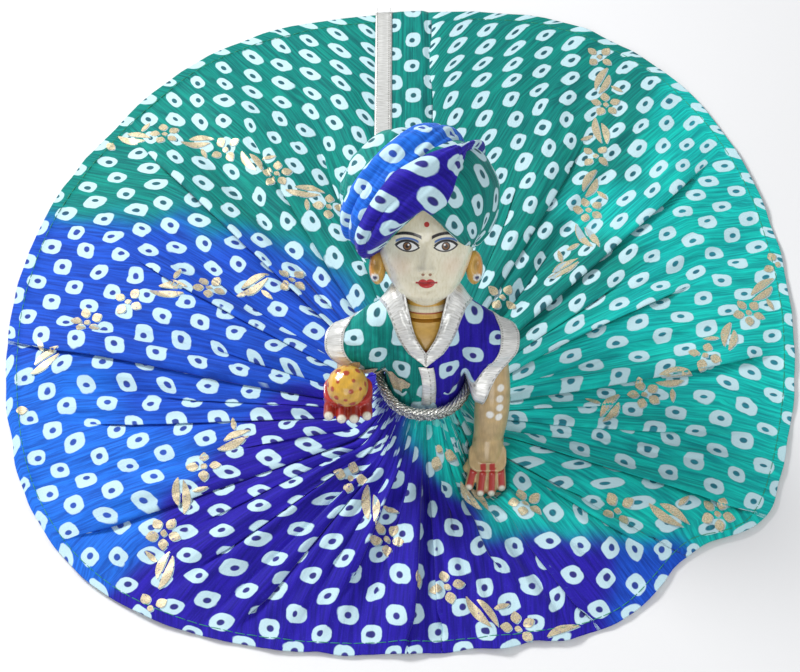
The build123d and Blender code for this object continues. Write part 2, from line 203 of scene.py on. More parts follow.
def drop_on(tree, x, y):
    """The height of the tree's surface under each x and y, or 1 where there is none."""
    out = np.ones(np.shape(x))
    for i in np.ndindex(out.shape):
        hit = tree.ray_cast(Vector((x[i], y[i], 60.0)), Vector((0, 0, -1)))
        if hit[0] is not None:
            out[i] = hit[0].z
    return out


def tube(points, radius, sides, closed=False):
    """Points and faces of a tube along a line."""
    points = np.asarray(points, float)
    ahead = np.roll(points, -1, 0) - np.roll(points, 1, 0)
    if not closed:
        ahead[0], ahead[-1] = points[1] - points[0], points[-1] - points[-2]
    ahead = unit(ahead)
    across = unit(np.cross(ahead, np.tile([0.02, 0.01, 1.0], (len(points), 1))))
    above = np.cross(across, ahead)
    turn = np.linspace(0, 2 * pi, sides, endpoint=False)[None, :, None]
    ring = radius * (np.cos(turn) * across[:, None] + np.sin(turn) * above[:, None])
    skin = (points[:, None] + ring).reshape(-1, 3)
    rows = len(points)
    faces = grid_faces(rows, sides, wrap=True).tolist()
    if closed:
        last = (rows - 1) * sides
        faces += [[last + j, last + (j + 1) % sides, (j + 1) % sides, j] for j in range(sides)]
    else:
        faces += [list(range(sides))[::-1], [(rows - 1) * sides + j for j in range(sides)]]
    return skin, faces


def gather(parts):
    """Joins (points, faces) pairs into one pair."""
    points, faces, start = [], [], 0
    for p, f in parts:
        p = np.asarray(p, float).reshape(-1, 3)
        points.append(p)
        faces += [[start + i for i in face] for face in f]
        start += len(p)
    return np.concatenate(points), faces


# ---------------------------------------------------------------- materials
class Term:
    """A number or colour that runs through a material's nodes."""

    def __init__(self, shader, socket):
        self.shader, self.socket = shader, socket

    def __add__(self, other):
        return self.shader.math("ADD", self, other)

    def __sub__(self, other):
        return self.shader.math("SUBTRACT", self, other)

    def __rsub__(self, other):
        return self.shader.math("SUBTRACT", other, self)

    def __mul__(self, other):
        return self.shader.math("MULTIPLY", self, other)

    def __truediv__(self, other):
        return self.shader.math("DIVIDE", self, other)

    def __pow__(self, other):
        return self.shader.math("POWER", self, other)

    def __abs__(self):
        return self.shader.math("ABSOLUTE", self)

    __radd__ = __add__
    __rmul__ = __mul__


class Shader:
    """A Principled material built from small expressions."""

    def __init__(self, name, **fixed):
        self.material = bpy.data.materials.new(name)
        self.material.use_nodes = True
        self.tree = self.material.node_tree
        self.tree.nodes.clear()
        out = self.tree.nodes.new("ShaderNodeOutputMaterial")
        self.main = self.tree.nodes.new("ShaderNodeBsdfPrincipled")
        self.tree.links.new(self.main.outputs[0], out.inputs[0])
        for socket, value in fixed.items():
            self.main.inputs[socket.replace("_", " ")].default_value = value

    def feed(self, socket, value):
        """Links a term to a socket, or sets the socket to a value."""
        if isinstance(value, Term):
            self.tree.links.new(value.socket, socket)
        elif isinstance(value, tuple) and len(value) == 3 and socket.type == "RGBA":
            socket.default_value = (*value, 1.0)
        else:
            socket.default_value = value

    def node(self, kind, *values, **settings):
        """The first output of a new node; values feed its inputs in order."""
        made = self.tree.nodes.new(kind)
        for key, value in settings.items():
            setattr(made, key, value)
        for i, value in enumerate(values):
            self.feed(made.inputs[i], value)
        return Term(self, made.outputs[0])

    def math(self, operation, *values):
        return self.node("ShaderNodeMath", *values, operation=operation)

    def length(self, x, y):
        """The distance of x and y from nothing."""
        return self.math("SQRT", x * x + y * y)

    def step(self, low, high, value):
        """0 to 1 as value goes from low to high, softly."""
        return self.node("ShaderNodeMapRange", value, low, high, 0.0, 1.0, interpolation_type="SMOOTHSTEP")

    def mix(self, factor, a, b, blend="MIX"):
        """Colour a, and b as factor goes to 1."""
        made = self.tree.nodes.new("ShaderNodeMix")
        made.data_type = "RGBA"
        made.blend_type = blend
        self.feed(made.inputs["Factor"], factor)
        self.feed([s for s in made.inputs if s.name == "A" and s.type == "RGBA"][0], a)
        self.feed([s for s in made.inputs if s.name == "B" and s.type == "RGBA"][0], b)
        return Term(self, [s for s in made.outputs if s.type == "RGBA"][0])

    def vector(self, x, y, z=0.0):
        return self.node("ShaderNodeCombineXYZ", x, y, z)

    def split(self, vector):
        """The three numbers of a vector."""
        made = self.tree.nodes.new("ShaderNodeSeparateXYZ")
        self.feed(made.inputs[0], vector)
        return [Term(self, o) for o in made.outputs]

    def grain(self, vector, scale=1.0, detail=2.0, rough=0.5):
        """Smooth noise from 0 to 1."""
        made = self.tree.nodes.new("ShaderNodeTexNoise")
        self.feed(made.inputs["Vector"], vector)
        for name, value in (("Scale", scale), ("Detail", detail), ("Roughness", rough)):
            made.inputs[name].default_value = value
        return Term(self, made.outputs[0])

    def chance(self, vector):
        """Three random numbers from 0 to 1 for each cell of vector."""
        made = self.tree.nodes.new("ShaderNodeTexWhiteNoise")
        made.noise_dimensions = "3D"
        self.feed(made.inputs["Vector"], vector)
        return self.split(Term(self, made.outputs["Color"]))

    def cloth_uv(self):
        """The cloth's own coordinates, in millimetres."""
        u, v, _ = self.split(self.node("ShaderNodeUVMap", uv_map="cloth"))
        return u * 1000.0, v * 1000.0

    def place(self):
        """Object coordinates, in millimetres."""
        made = self.tree.nodes.new("ShaderNodeTexCoord")
        return [c * 1000.0 for c in self.split(Term(self, made.outputs["Object"]))]

    def ground(self):
        """The mesh's own colour."""
        return self.node("ShaderNodeVertexColor", layer_name="ground")

    def finish(self, colour, height=None, rough=None, strength=0.5, depth=0.0002, metal=None):
        """The material with its colour, and a bump from height; the values may be numbers."""
        self.feed(self.main.inputs["Base Color"], colour)
        if rough is not None:
            self.feed(self.main.inputs["Roughness"], rough)
        if metal is not None:
            self.feed(self.main.inputs["Metallic"], metal)
        if height is not None:
            bump = self.tree.nodes.new("ShaderNodeBump")
            bump.inputs["Strength"].default_value = strength
            bump.inputs["Distance"].default_value = depth
            self.feed(bump.inputs["Height"], height)
            self.tree.links.new(bump.outputs[0], self.main.inputs["Normal"])
        return self.material


# the tie-dye print, along the cloth and down it
RING_PITCH = (9.2, 17.6)
RING_HALF = (3.75, 4.05)
EYE_HALF = (1.25, 1.42)


def ring_mask(s, u, v, size):
    """Pale rings of a tie-dye print, in columns that are staggered by half a step, and their dark eyes."""
    column = s.math("FLOOR", u / RING_PITCH[0])
    stagger = s.math("MODULO", abs(column), 2.0) * 0.5
    down = v / RING_PITCH[1] + stagger
    row = s.math("FLOOR", down)
    a, b, c = s.chance(s.vector(column, row, 3.0))
    x = (u / RING_PITCH[0] - column - 0.5 + (a - 0.5) * 0.10) * RING_PITCH[0]
    y = (down - row - 0.5 + (b - 0.5) * 0.07) * RING_PITCH[1]
    edge = (s.grain(s.vector(u, v), 0.35, 1.0) - 0.5) * 0.17
    lean = x + y * (c - 0.5) * 0.3
    across = abs(lean) / ((c * 0.22 + 0.88) * (RING_HALF[0] * size))
    along = abs(y) / ((a * 0.22 + 0.88) * (RING_HALF[1] * size))
    squareness = 2.7  # 2 is an ellipse; more fills out its corners
    far = (across ** squareness + along ** squareness) ** (1 / squareness) + edge
    ring = s.step(1.07, 0.95, far)
    ex = (lean + (b - 0.5) * 1.1) / (EYE_HALF[0] * size)
    ey = (y + (c - 0.5) * 1.2) / (EYE_HALF[1] * size)
    eye = s.step(1.25, 0.85, s.length(ex, ey) + edge * 0.6)
    return ring, eye


def print_cloth(name, colour, size=1.0):
    """Crinkled tie-dyed cotton; colour is one colour, or None for the mesh's own."""
    s = Shader(name, Sheen_Weight=0.1, Sheen_Roughness=0.4, Specular_IOR_Level=0.2)
    u, v = s.cloth_uv()
    ground = s.ground() if colour is None else colour
    crinkle = s.grain(s.vector(u * 0.9, v * 0.045), 1.0, 3.0, 0.6)
    blotch = s.grain(s.vector(u, v), 0.05, 3.0)
    weave = s.grain(s.vector(u * 5.0, v * 1.4), 1.0, 2.0, 0.7)
    # painted shade and painted highlight: the cloth is darker and bluer in the crinkles' hollows and brighter
    # and warmer on their ridges
    tone = s.mix(s.step(0.28, 0.72, crinkle), (0.50, 0.52, 0.60), (1.35, 1.25, 1.18))
    tone = s.mix(s.step(0.35, 0.7, blotch) * 0.45, tone, (1.2, 1.25, 1.1), "MULTIPLY")
    dyed = s.mix(1.0, ground, tone, "MULTIPLY")
    dyed = s.mix(s.step(0.56, 0.8, weave) * 0.25, dyed, s.mix(0.3, dyed, (0.25, 0.70, 0.95)))
    ring, eye = ring_mask(s, u, v, size)
    if colour is None:  # close to the waist the gathers shut over most of the print
        ring = ring * (s.step(23.0, 15.0, s.place()[2]) * 0.75 + 0.25)
    pale = s.mix(s.step(0.3, 0.8, weave) * 0.35, PALE, s.mix(0.35, PALE, dyed))
    shown = s.mix(ring, dyed, pale)
    shown = s.mix(eye * 0.96, shown, s.mix(1.0, dyed, (0.75, 0.42, 0.62), "MULTIPLY"))
    height = crinkle * 0.75 + weave * 0.25
    return s.finish(shown, height, 0.86 - weave * 0.2, 0.7, 0.00035)


def ribbon_cloth(name):
    """Silver-white woven ribbon with a satin shine and fine ribs."""
    s = Shader(name, Metallic=0.35, Specular_IOR_Level=0.7)
    u, v = s.cloth_uv()
    rib = s.math("SINE", v * (2 * pi / 0.55)) * 0.5 + 0.5
    thread = s.grain(s.vector(u * 0.22, v * 3.0), 1.0, 3.0)
    glint = s.chance(s.vector(s.math("FLOOR", u * 2.2), s.math("FLOOR", v * 3.6), 1.0))[0]
    tint = s.mix(s.step(0.3, 0.7, thread), (0.60, 0.60, 0.56), (0.90, 0.90, 0.87))
    tint = s.mix(s.step(0.8, 1.0, glint) * 0.12, tint, (1.0, 1.0, 0.97))
    edge = s.math("MINIMUM", abs(u - 0.7), abs(u - 6.3))
    hole = s.math("SINE", v * (2 * pi / 1.3)) * 0.5 + 0.5
    tint = s.mix(s.step(0.32, 0.12, edge) * hole * 0.75, tint, (0.20, 0.19, 0.16))
    return s.finish(tint, rib * 0.5 + thread * 0.5, 0.44 - thread * 0.2, 0.35, 0.00012)


def foil_metal():
    """Thin gold foil, crumpled and partly worn off."""
    s = Shader("gold_foil", Specular_IOR_Level=0.5)
    x, y, z = s.place()
    worn = s.grain(s.vector(x, y, z), 0.9, 4.0, 0.7)
    crush = s.grain(s.vector(x, y, z), 2.2, 3.0, 0.6)
    keep = s.step(0.36, 0.42, worn)
    # painted shade and painted highlight: darker where the crumples are low, lighter where they are high
    colour = s.mix(s.step(0.3, 0.7, crush), (0.48, 0.39, 0.23), (0.82, 0.72, 0.50))
    colour = s.mix(keep, s.mix(0.35, s.ground(), FOIL), colour)
    return s.finish(colour, crush, 0.42 + crush * 0.2, 0.2, 0.0001, keep * 0.45)


def silver_thread():
    """Twisted metallic thread, dull in places."""
    s = Shader("silver_thread", Metallic=0.85, Specular_IOR_Level=0.6)
    u, v = s.cloth_uv()
    twist = s.math("SINE", (u + v * 0.8) * (2 * pi / 0.8)) * 0.5 + 0.5
    dark = s.grain(s.vector(u, v), 0.6, 2.0)
    # painted shade and painted highlight: dark in the twist's grooves, bright on its ridges
    colour = s.mix(twist, (0.30, 0.30, 0.27), (0.88, 0.88, 0.82))
    colour = s.mix(s.step(0.35, 0.7, dark) * 0.4, colour, (0.42, 0.42, 0.38))
    return s.finish(colour, twist, 0.22 + twist * 0.15, 0.9, 0.0003)


def painted(name, colour, gloss=0.25):
    """Hand-painted, varnished wood; colour is one colour, or None for the mesh's own."""
    s = Shader(name, Coat_Weight=0.6, Coat_Roughness=0.12, Specular_IOR_Level=0.5)
    x, y, z = s.place()
    brush = s.grain(s.vector(x * 1.6, y * 0.35, z * 0.35), 1.0, 3.0, 0.6)
    age = s.grain(s.vector(x, y, z), 0.16, 4.0, 0.6)
    speck = s.grain(s.vector(x, y, z), 2.6, 2.0)
    base = s.ground() if colour is None else colour
    tone = s.mix(s.step(0.3, 0.7, brush), (0.90, 0.88, 0.84), (1.06, 1.05, 1.03))
    shown = s.mix(1.0, base, tone, "MULTIPLY")
    shown = s.mix(s.step(0.55, 0.8, age) * 0.28, shown, (0.40, 0.28, 0.12))
    shown = s.mix(s.step(0.70, 0.78, speck) * 0.35, shown, (0.20, 0.14, 0.08))
    return s.finish(shown, brush * 0.6 + speck * 0.2, gloss + brush * 0.15, 0.25, 0.0002)


def plain_wood(name, colour):
    """Bare wood with a fine grain."""
    s = Shader(name, Specular_IOR_Level=0.4)
    x, y, z = s.place()
    rings = s.grain(s.vector(x * 0.25, y * 1.6, z * 1.6), 1.0, 4.0, 0.6)
    shown = s.mix(rings, tuple(c * 0.6 for c in colour), colour)
    return s.finish(shown, rings, 0.55, 0.4, 0.0002)


def napped(name, colour, loops=1.6):
    """Hook-and-loop tape, or padding, with a fuzzy face."""
    s = Shader(name, Sheen_Weight=0.5, Sheen_Roughness=0.6)
    x, y, z = s.place()
    fuzz = s.grain(s.vector(x, y, z), loops, 4.0, 0.8)
    # painted shade: darker where the fuzz is low, between the loops
    shown = s.mix(fuzz, tuple(c * 0.55 for c in colour), colour)
    return s.finish(shown, fuzz, 0.92, 0.9, 0.0005)


SKIRT_PRINT = print_cloth("skirt_print", None)
TEAL_PRINT = print_cloth("teal_print", TEAL)
NAVY_PRINT = print_cloth("navy_print", NAVY)
BLUE_PRINT = print_cloth("blue_print", SKY)
TURBAN_TEAL = print_cloth("turban_teal", TEAL, 1.1)
TURBAN_NAVY = print_cloth("turban_navy", NAVY, 1.1)
RIBBON = ribbon_cloth("silver_ribbon")
BRAID = silver_thread()
GOLD = foil_metal()
BODY_PAINT = painted("body_paint", None)
WOOD = plain_wood("peg_wood", (0.55, 0.36, 0.19))
TAPE = napped("hook_and_loop", (0.82, 0.82, 0.78))
UNDERPRINT = napped("foil_underprint", PALE)
PADDING = napped("padding", (0.72, 0.68, 0.58), 0.7)


# ---------------------------------------------------------------- camera, light, floor
VIEW_HEIGHT = radians(58)  # how far above the horizon the camera stands
VIEW_DISTANCE = 0.70  # metres, as are the target and the lamps below
VIEW_TARGET = Vector((-0.001, -0.0205, 0.0))
LENS, FILM = 73.7, 36.0


def stage():
    """The camera, three lamps, a pale world and the floor."""
    camera = bpy.data.objects.new("camera", bpy.data.cameras.new("camera"))
    camera.data.lens, camera.data.sensor_width = LENS, FILM
    away = Vector((0, -cos(VIEW_HEIGHT), sin(VIEW_HEIGHT)))
    camera.location = VIEW_TARGET + away * VIEW_DISTANCE
    camera.rotation_euler = (pi / 2 - VIEW_HEIGHT, 0, 0)
    camera.data.clip_start = 0.01
    bpy.context.scene.collection.objects.link(camera)
    bpy.context.scene.camera = camera

    for name, place, size, power in (
        ("key", (-0.62, 0.42, 0.62), 0.25, 9.6),
        ("fill", (0.75, -0.35, 0.75), 0.9, 2.4),
        ("front", (-0.10, -0.85, 0.50), 0.5, 2.2),
    ):
        light = bpy.data.lights.new(name, "AREA")
        light.size, light.energy = size, power
        lamp = bpy.data.objects.new(name, light)
        lamp.location = place
        lamp.rotation_euler = (Vector((0, -0.02, 0.03)) - Vector(place)).to_track_quat("-Z", "Y").to_euler()
        bpy.context.scene.collection.objects.link(lamp)

    world = bpy.data.worlds.new("studio")
    world.use_nodes = True
    world.node_tree.nodes["Background"].inputs[0].default_value = (0.93, 0.95, 1.0, 1)
    world.node_tree.nodes["Background"].inputs[1].default_value = 0.39
    bpy.context.scene.world = world
    bpy.context.scene.view_settings.view_transform = "Standard"

    s = Shader("floor", Roughness=0.9)
    x, y, z = s.place()
    cloud = s.grain(s.vector(x, y, z), 0.004, 2.0)
    s.finish(s.mix(cloud, (0.82, 0.82, 0.82), (0.88, 0.88, 0.88)))
    floor = make("floor", [(-3000, -3000, 0), (3000, -3000, 0), (3000, 3000, 0), (-3000, 3000, 0)],
                 [[0, 1, 2, 3]], s.material)


stage()


# ---------------------------------------------------------------- skirt
FOLDS_PER_SIDE = 22
# four ranks of folds: how far each runs on the way to the hem, and how deep and high it is
FOLD_REACHES = np.array([0.42, 0.60, 0.80, 1.02])
FOLD_DEPTHS = np.array([1.4, 1.8, 2.6, 3.4])
FOLD_HEIGHTS = np.array([1.2, 1.6, 2.3, 3.0])
PANEL_STEPS = 9
CLOTH_TOP = 0.75  # the cloth's upper face where it lies flat
SKIRT_THICK = 0.45
MOST_OVERLAP = 0.34  # of a panel's width, that a fold can lie over it
OVERHANG = np.array([0.5, 0.5, 0.0, -0.5, -0.5])  # across a fold, from the lower layer to the upper
OVERHANG_ROUND = np.array([0.0, 0.3, 0.0, -0.3, 0.0])
OVERHANG_FLAT = np.array([-1.0, -0.5, 0.0, 0.5, 1.0])
OVERHANG_RISE = np.array([0.0, 0.15, 0.5, 0.85, 1.0])
OVERHANG_PRINT = np.array([0.0, 0.0, 0.5, 1.0, 1.0])  # how much of the cloth inside the fold has passed
HEM_ROWS = np.array([0.0, 0.3, 0.9, 2.0, 3.4, 4.9, 5.3, 6.4, 8.0])  # distances in from the hem
BODY_ROWS = 62
INWARD = np.linspace(1, 0, BODY_ROWS) ** 1.12  # the rows inside the hem, from its inner side to the waist
HEM_INSET = 0.8  # how far the cloth's edge stands inside the CAD skirt's
WAIST_ROWS = 5

# where the dye has which colour; x, y, colour, and how far it spreads
DYES = [
    (-95, 115, TEAL, 50), (-40, 70, TEAL, 50), (23, 134, TEAL, 60), (75, 85, TEAL, 45),
    (-130, 62, TEAL, 30), (137, 79, TURQUOISE, 32), (150, 0, TURQUOISE, 40), (100, -38, TURQUOISE, 45),
    (122, -76, TURQUOISE, 40), (64, -86, TURQUOISE, 28), (22, -80, TURQUOISE, 16), (60, 10, TEAL, 40),
    (90, 45, TURQUOISE, 22), (-131, -3, ROYAL, 45), (-141, -62, SKY, 32), (-66, 0, ROYAL, 30),
    (-93, -53, ROYAL, 30), (-120, -108, SKY, 22), (-150, 5, ROYAL, 24), (-60, -28, ROYAL, 22),
    (-100, -78, SKY, 20), (-69, -112, NAVY, 28), (-78, -150, NAVY, 26), (-28, -125, NAVY, 30),
    (10, -158, NAVY, 30), (-1, -108, NAVY, 22), (-20, -70, NAVY, 16), (61, -138, NAVY, 22),
    (97, -138, ROYAL, 18), (-45, -70, NAVY, 18),
]


def dye_at(x, y):
    """The ground colour of the skirt at each point, from the nearest dye baths."""
    x, y = np.broadcast_arrays(x, y)
    bent_x = x + 3.0 * wobble(x * 0.05, y * 0.05, 3.0)
    bent_y = y + 3.0 * wobble(x * 0.05, y * 0.05, 9.0)
    total = np.zeros(x.shape)
    colour = np.zeros(x.shape + (3,))
    for px, py, paint, spread in DYES:
        near = np.exp(-8.0 * ((bent_x - px) ** 2 + (bent_y - py) ** 2) / spread ** 2 * 0.5) + 1e-12
        total += near
        colour += near[..., None] * np.array(paint)
    return colour / total[..., None]


def outline():
    """The CAD skirt's hem as seen from the waist's centre: angles in order, and the distance at each."""
    co = np.array([v.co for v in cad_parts["skirt_cloth"].data.vertices]) / MM
    low = co[co[:, 2] < 0.05]
    dx, dy = low[:, 0] - WAIST[0], low[:, 1] - WAIST[1]
    far = np.hypot(dx, dy)
    on_hem = np.hypot(low[:, 0], low[:, 1]) > 155
    angle = np.arctan2(dy[on_hem], dx[on_hem])
    order = np.argsort(angle)
    return angle[order], far[on_hem][order]


HEM_ANGLE, HEM_FAR = outline()


def hem_far(angle):
    """The distance of the CAD skirt's hem from the waist's centre."""
    turn = (np.asarray(angle) + pi) % (2 * pi) - pi
    return np.interp(turn, HEM_ANGLE, HEM_FAR, period=2 * pi)


def ellipse_far(angle, centre_y, half_width, half_depth):
    """From the waist's centre, the distance to an ellipse of the skirt's rise."""
    dx, dy = np.cos(angle) / half_width, np.sin(angle) / half_depth
    oy = (WAIST[1] - centre_y) / half_depth
    a, b, c = dx * dx + dy * dy, dy * oy, oy * oy - 1
    return (-b + np.sqrt(b * b - a * c)) / a


def rise_height(angle, far):
    """The height of the skirt over the knees, where it falls from the waist to the ground."""
    waist = ellipse_far(angle, -60.0, *WAIST_RADII)
    middle = ellipse_far(angle, -56.0, 22.5, 28.5)
    foot = ellipse_far(angle, -53.0, 34.0, 42.0) + 5.0
    power = np.log(0.5) / np.log(1 - (middle - waist) / (foot - waist) * 0.98)
    fall = np.clip((far - waist) / (foot - waist), 0, 1)
    return WAIST_Z * (1 - fall) ** np.clip(power, 1.05, 2.2)


def limit_height(x, y, z):
    """Keeps the cloth low under the planted hand and under the back opening's flap."""
    hand = np.hypot((x - 33.6) / 11.0, (y + 89.0) / 14.0)
    z = np.minimum(z, 1.5 + 22.0 * np.clip(hand - 0.75, 0, None))
    strip = np.maximum(np.abs(x + 0.3) - 14.5, 22.0 - y)
    return np.minimum(z, 1.15 + 0.5 * np.clip(strip, 0, None))


def drawn(side, phi):
    """How much closer together the print stands at each angle round from the front."""
    if side > 0:
        return 0.32 * smooth(1.0, 2.3, phi)
    return 0.26 * smooth(1.9, 2.7, phi)


def ray(side, phi):
    """The angle of X to the direction that is phi round from the front, on one side."""
    return side * phi - pi / 2


def far_at(side, phi):
    """At each phi, a column of distances from the waist's centre: the hem's rows, then the rest."""
    angle = ray(side, phi)
    edge = hem_far(angle) - HEM_INSET + 0.9 * wobble(side * phi * 9.0, 2.0, 5.0)
    waist = ellipse_far(angle, WAIST[1], *WAIST_RADII)
    body = waist + (edge - HEM_ROWS[-1] - waist) * INWARD[:, None]
    return np.concatenate([edge - HEM_ROWS[:, None], body])


def fold_plan():
    """Random folds: where each stands, how far out it runs, how deep and tall it is, and how it bends."""
    spots = np.linspace(0, 180, FOLDS_PER_SIDE + 1)[:-1] + 4.0
    spots[1:] += rng.uniform(-2.6, 2.6, FOLDS_PER_SIDE - 1)
    spots = spots[spots < 168]
    count = len(spots)
    rank = np.array([(3, 0, 2, 1)[i % 4] for i in range(count)])
    reach = FOLD_REACHES[rank] + rng.uniform(-0.08, 0.08, count)
    deep = FOLD_DEPTHS[rank] * rng.uniform(0.75, 1.25, count)
    tall = FOLD_HEIGHTS[rank] * rng.uniform(0.75, 1.25, count)
    bend = rng.uniform(-1, 1, (count, 2))
    return np.radians(spots), reach, deep, tall, bend


def panel_starts(ends, share, reach, across):
    """The cloth coordinate where each panel starts; inward from a fold's outer end it stays the same."""
    rows, count = share.shape
    start_u = np.zeros((rows, count + 1))
    frozen = np.zeros(count + 1)
    for r in range(rows):
        for k in range(1, count + 1):
            if share[r, k - 1] >= reach[k - 1]:
                frozen[k] = start_u[r, k - 1] + across[r, k - 1] * (ends[r, k] - ends[r, k - 1])
            start_u[r, k] = frozen[k]
    return start_u


def fold_columns(side):
    """Columns of points with a Z-shaped overhang at each fold: angle, lift and cloth coordinate."""
    spots, reach, deep, tall, bend = fold_plan()
    line_far = far_at(side, spots)
    share = (line_far - line_far[-1]) / (line_far[0] - line_far[-1])  # 0 at the waist, 1 at the hem
    line = spots + bend[:, 0] * 1.6 * np.sin(share * 3.0 + bend[:, 1] * 3) * share / line_far
    rows, count = share.shape
    ends = np.column_stack([np.zeros(rows), line, np.full(rows, pi)])
    # the print is drawn closer across the cloth, and longer down it, toward the back
    middle = (ends[0, 1:] + ends[0, :-1]) / 2
    across = far_at(side, middle) * (1 + drawn(side, middle))
    start_u = panel_starts(ends, share, reach, across)
    # nothing is folded at the front's middle and at the back opening
    deep, tall = np.pad(deep, 1), np.pad(tall, 1)
    active = np.pad(smooth(0.0, 0.16, reach - share), ((0, 0), (1, 1)))

    columns = []
    for k in range(count + 1):
        left, right = ends[:, k], ends[:, k + 1]
        local = line_far[:, min(max(k - 1, 0), count - 1)]
        width = np.maximum((right - left) * local, 0.8)
        on, on_next = active[:, k], active[:, k + 1]
        over = np.minimum(deep[k], MOST_OVERLAP * width) * on
        over_next = np.minimum(deep[k + 1], MOST_OVERLAP * width) * on_next
        high = np.minimum(tall[k], 0.5 * width) * on
        unfolded = np.minimum(1.0, 0.12 * width)
        if k > 0:
            last_u = columns[-1][2]
            for j in range(len(OVERHANG)):
                slide = on * (OVERHANG[j] * over + OVERHANG_ROUND[j] * np.minimum(1, over))
                slide = slide + (1 - on) * OVERHANG_FLAT[j] * unfolded
                passed = on * OVERHANG_PRINT[j] + (1 - on) * j / (len(OVERHANG) - 1)
                u = last_u + (start_u[:, k] - last_u) * passed
                columns.append((left + slide / local, high * OVERHANG_RISE[j], u))
        first = columns[-1][0] if k > 0 else left
        last = right + (on_next * 0.5 * over_next - (1 - on_next) * unfolded) / local
        if k == count:
            last = right
        steps = PANEL_STEPS if width[0] > 12 else PANEL_STEPS - 2
        puff = np.minimum(0.24 * width, 1.5) * np.maximum(on, on_next)
        roundness = 2 if k == 0 else 1  # the front's middle is smooth
        for i in range(0 if k == 0 else 1, steps + 1):
            t = i / steps
            phi = first + (last - first) * t
            lift = high * (1 - t) ** 1.5 + puff * sin(pi * t) ** roundness
            columns.append((phi, lift, start_u[:, k] + (phi - left) * across[:, k]))
    return np.stack(columns).transpose(1, 2, 0)


def cloth_height(side, phi, far, x, y, lift):
    """The cloth's upper face: the rise over the knees, and swells, ridges, bunches and folds on it."""
    share = np.clip((far - far[-1:]) / (far[:1] - far[-1:]), 0, 1)
    turn = side * phi
    broad = wobble(turn * 5.5, share * 1.1, 21.0) + 0.5 * wobble(turn * 12.0, share * 1.6, 41.0)
    swell = (2.2 + broad * 3.1) * smooth(0, 0.25, share) * (1 - 0.75 * smooth(0.75, 1.0, share))
    ridges = wobble(turn * 26.0, share * 1.3, 71.0) * smooth(1.0, 0.75, share)
    fine = 0.25 * wobble(x * 0.12, y * 0.12, 8.0) + 0.9 * ridges * smooth(0.02, 0.3, share)
    lap = smooth(pi * 0.62, pi * 0.2, phi)
    fine += 1.9 * lap * wobble(turn * 13.0, share, 91.0) * np.exp(-(((share - 0.22) / 0.16) ** 2))
    # the cloth is pushed together in front of the planted hand and in front of the lap
    bunch = 4.6 * np.exp(-((x - 37) / 15) ** 2 - ((y + 110) / 4.5) ** 2)
    bunch += 2.6 * np.exp(-((x - 4) / 9) ** 2 - ((y + 104) / 7) ** 2)
    flat = CLOTH_TOP + np.clip(swell, 0, None) + fine + bunch
    z = np.sqrt(rise_height(ray(side, phi), far) ** 2 + flat ** 2) + lift
    inside = far[:1] - far
    hem_wave = 0.5 * np.clip(wobble(turn * 16.0, 0.0, 6.0), 0, None) * smooth(14, 0, inside)
    z = np.maximum(limit_height(x, y, z + hem_wave), CLOTH_TOP - 0.15 + lift * 0.3)
    z = z + smooth(6.0, 4.6, inside) * 0.4  # the hem is doubled
    z = np.minimum(z, WAIST_Z + 0.6)
    z[-1] = WAIST_Z + 0.1
    return z


def half_skirt(side):
    """One side's grid, from straight ahead round to the back: points, cloth coordinates."""
    phi, lift, u = fold_columns(side)
    far = np.stack([far_at(side, phi[r])[r] for r in range(len(phi))])
    x = WAIST[0] + far * np.cos(ray(side, phi))
    y = WAIST[1] + far * np.sin(ray(side, phi))
    z = cloth_height(side, phi, far, x, y, lift)
    v = (far[:1] - far + (z - CLOTH_TOP) * 0.6) * (1 - 0.68 * drawn(side, phi))
    return x, y, z, u * side, v


def skirt():
    """The spread skirt, its waistband, and the slit at the back."""
    band = np.linspace(0.5, 3.4, WAIST_ROWS)[:, None]
    parts, uvs, colours = [], [], []
    for side in (1, -1):
        x, y, z, u, v = half_skirt(side)
        if side > 0:
            opening_u = u[10, -1]
        # behind the figure, the opening's two edges run side by side
        edge = 11.5 if side > 0 else 8.5
        shift = (edge - FIGURE_X) * smooth(20, 27, y[:, -1])
        x = x + smooth(16, 0, np.abs(x - FIGURE_X)) * (y > 0) * shift[:, None]
        # the waistband
        x, y, u = (np.concatenate([a, np.repeat(a[-1:], WAIST_ROWS, 0)]) for a in (x, y, u))
        y[-WAIST_ROWS:] += 0.25 * wobble(u[-1:] * 0.6, 0.0, 2.0) * np.sign(y[-1:] - WAIST[1])
        z = np.concatenate([z, WAIST_Z + band + 0 * z[-1:]])
        v = np.concatenate([v, v[-1:] + band])
        faces = grid_faces(*x.shape)[:, ::side]
        parts.append((np.stack([x, y, z], -1).reshape(-1, 3), faces.tolist()))
        uvs.append(np.stack([u, v], -1).reshape(-1, 2))
        colours.append(dye_at(x, y).reshape(-1, 3))
    points, faces = gather(parts)
    cloth = make("skirt", points, faces, SKIRT_PRINT, np.concatenate(uvs), np.concatenate(colours))
    weld(cloth)
    tree = tree_of(cloth)
    thicken(cloth, SKIRT_THICK)
    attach(cloth, "torso")
    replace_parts(cloth, "skirt_cloth", "skirt_waistband")
    return cloth, tree, opening_u


SKIRT, SKIRT_TREE, OPENING_U = skirt()


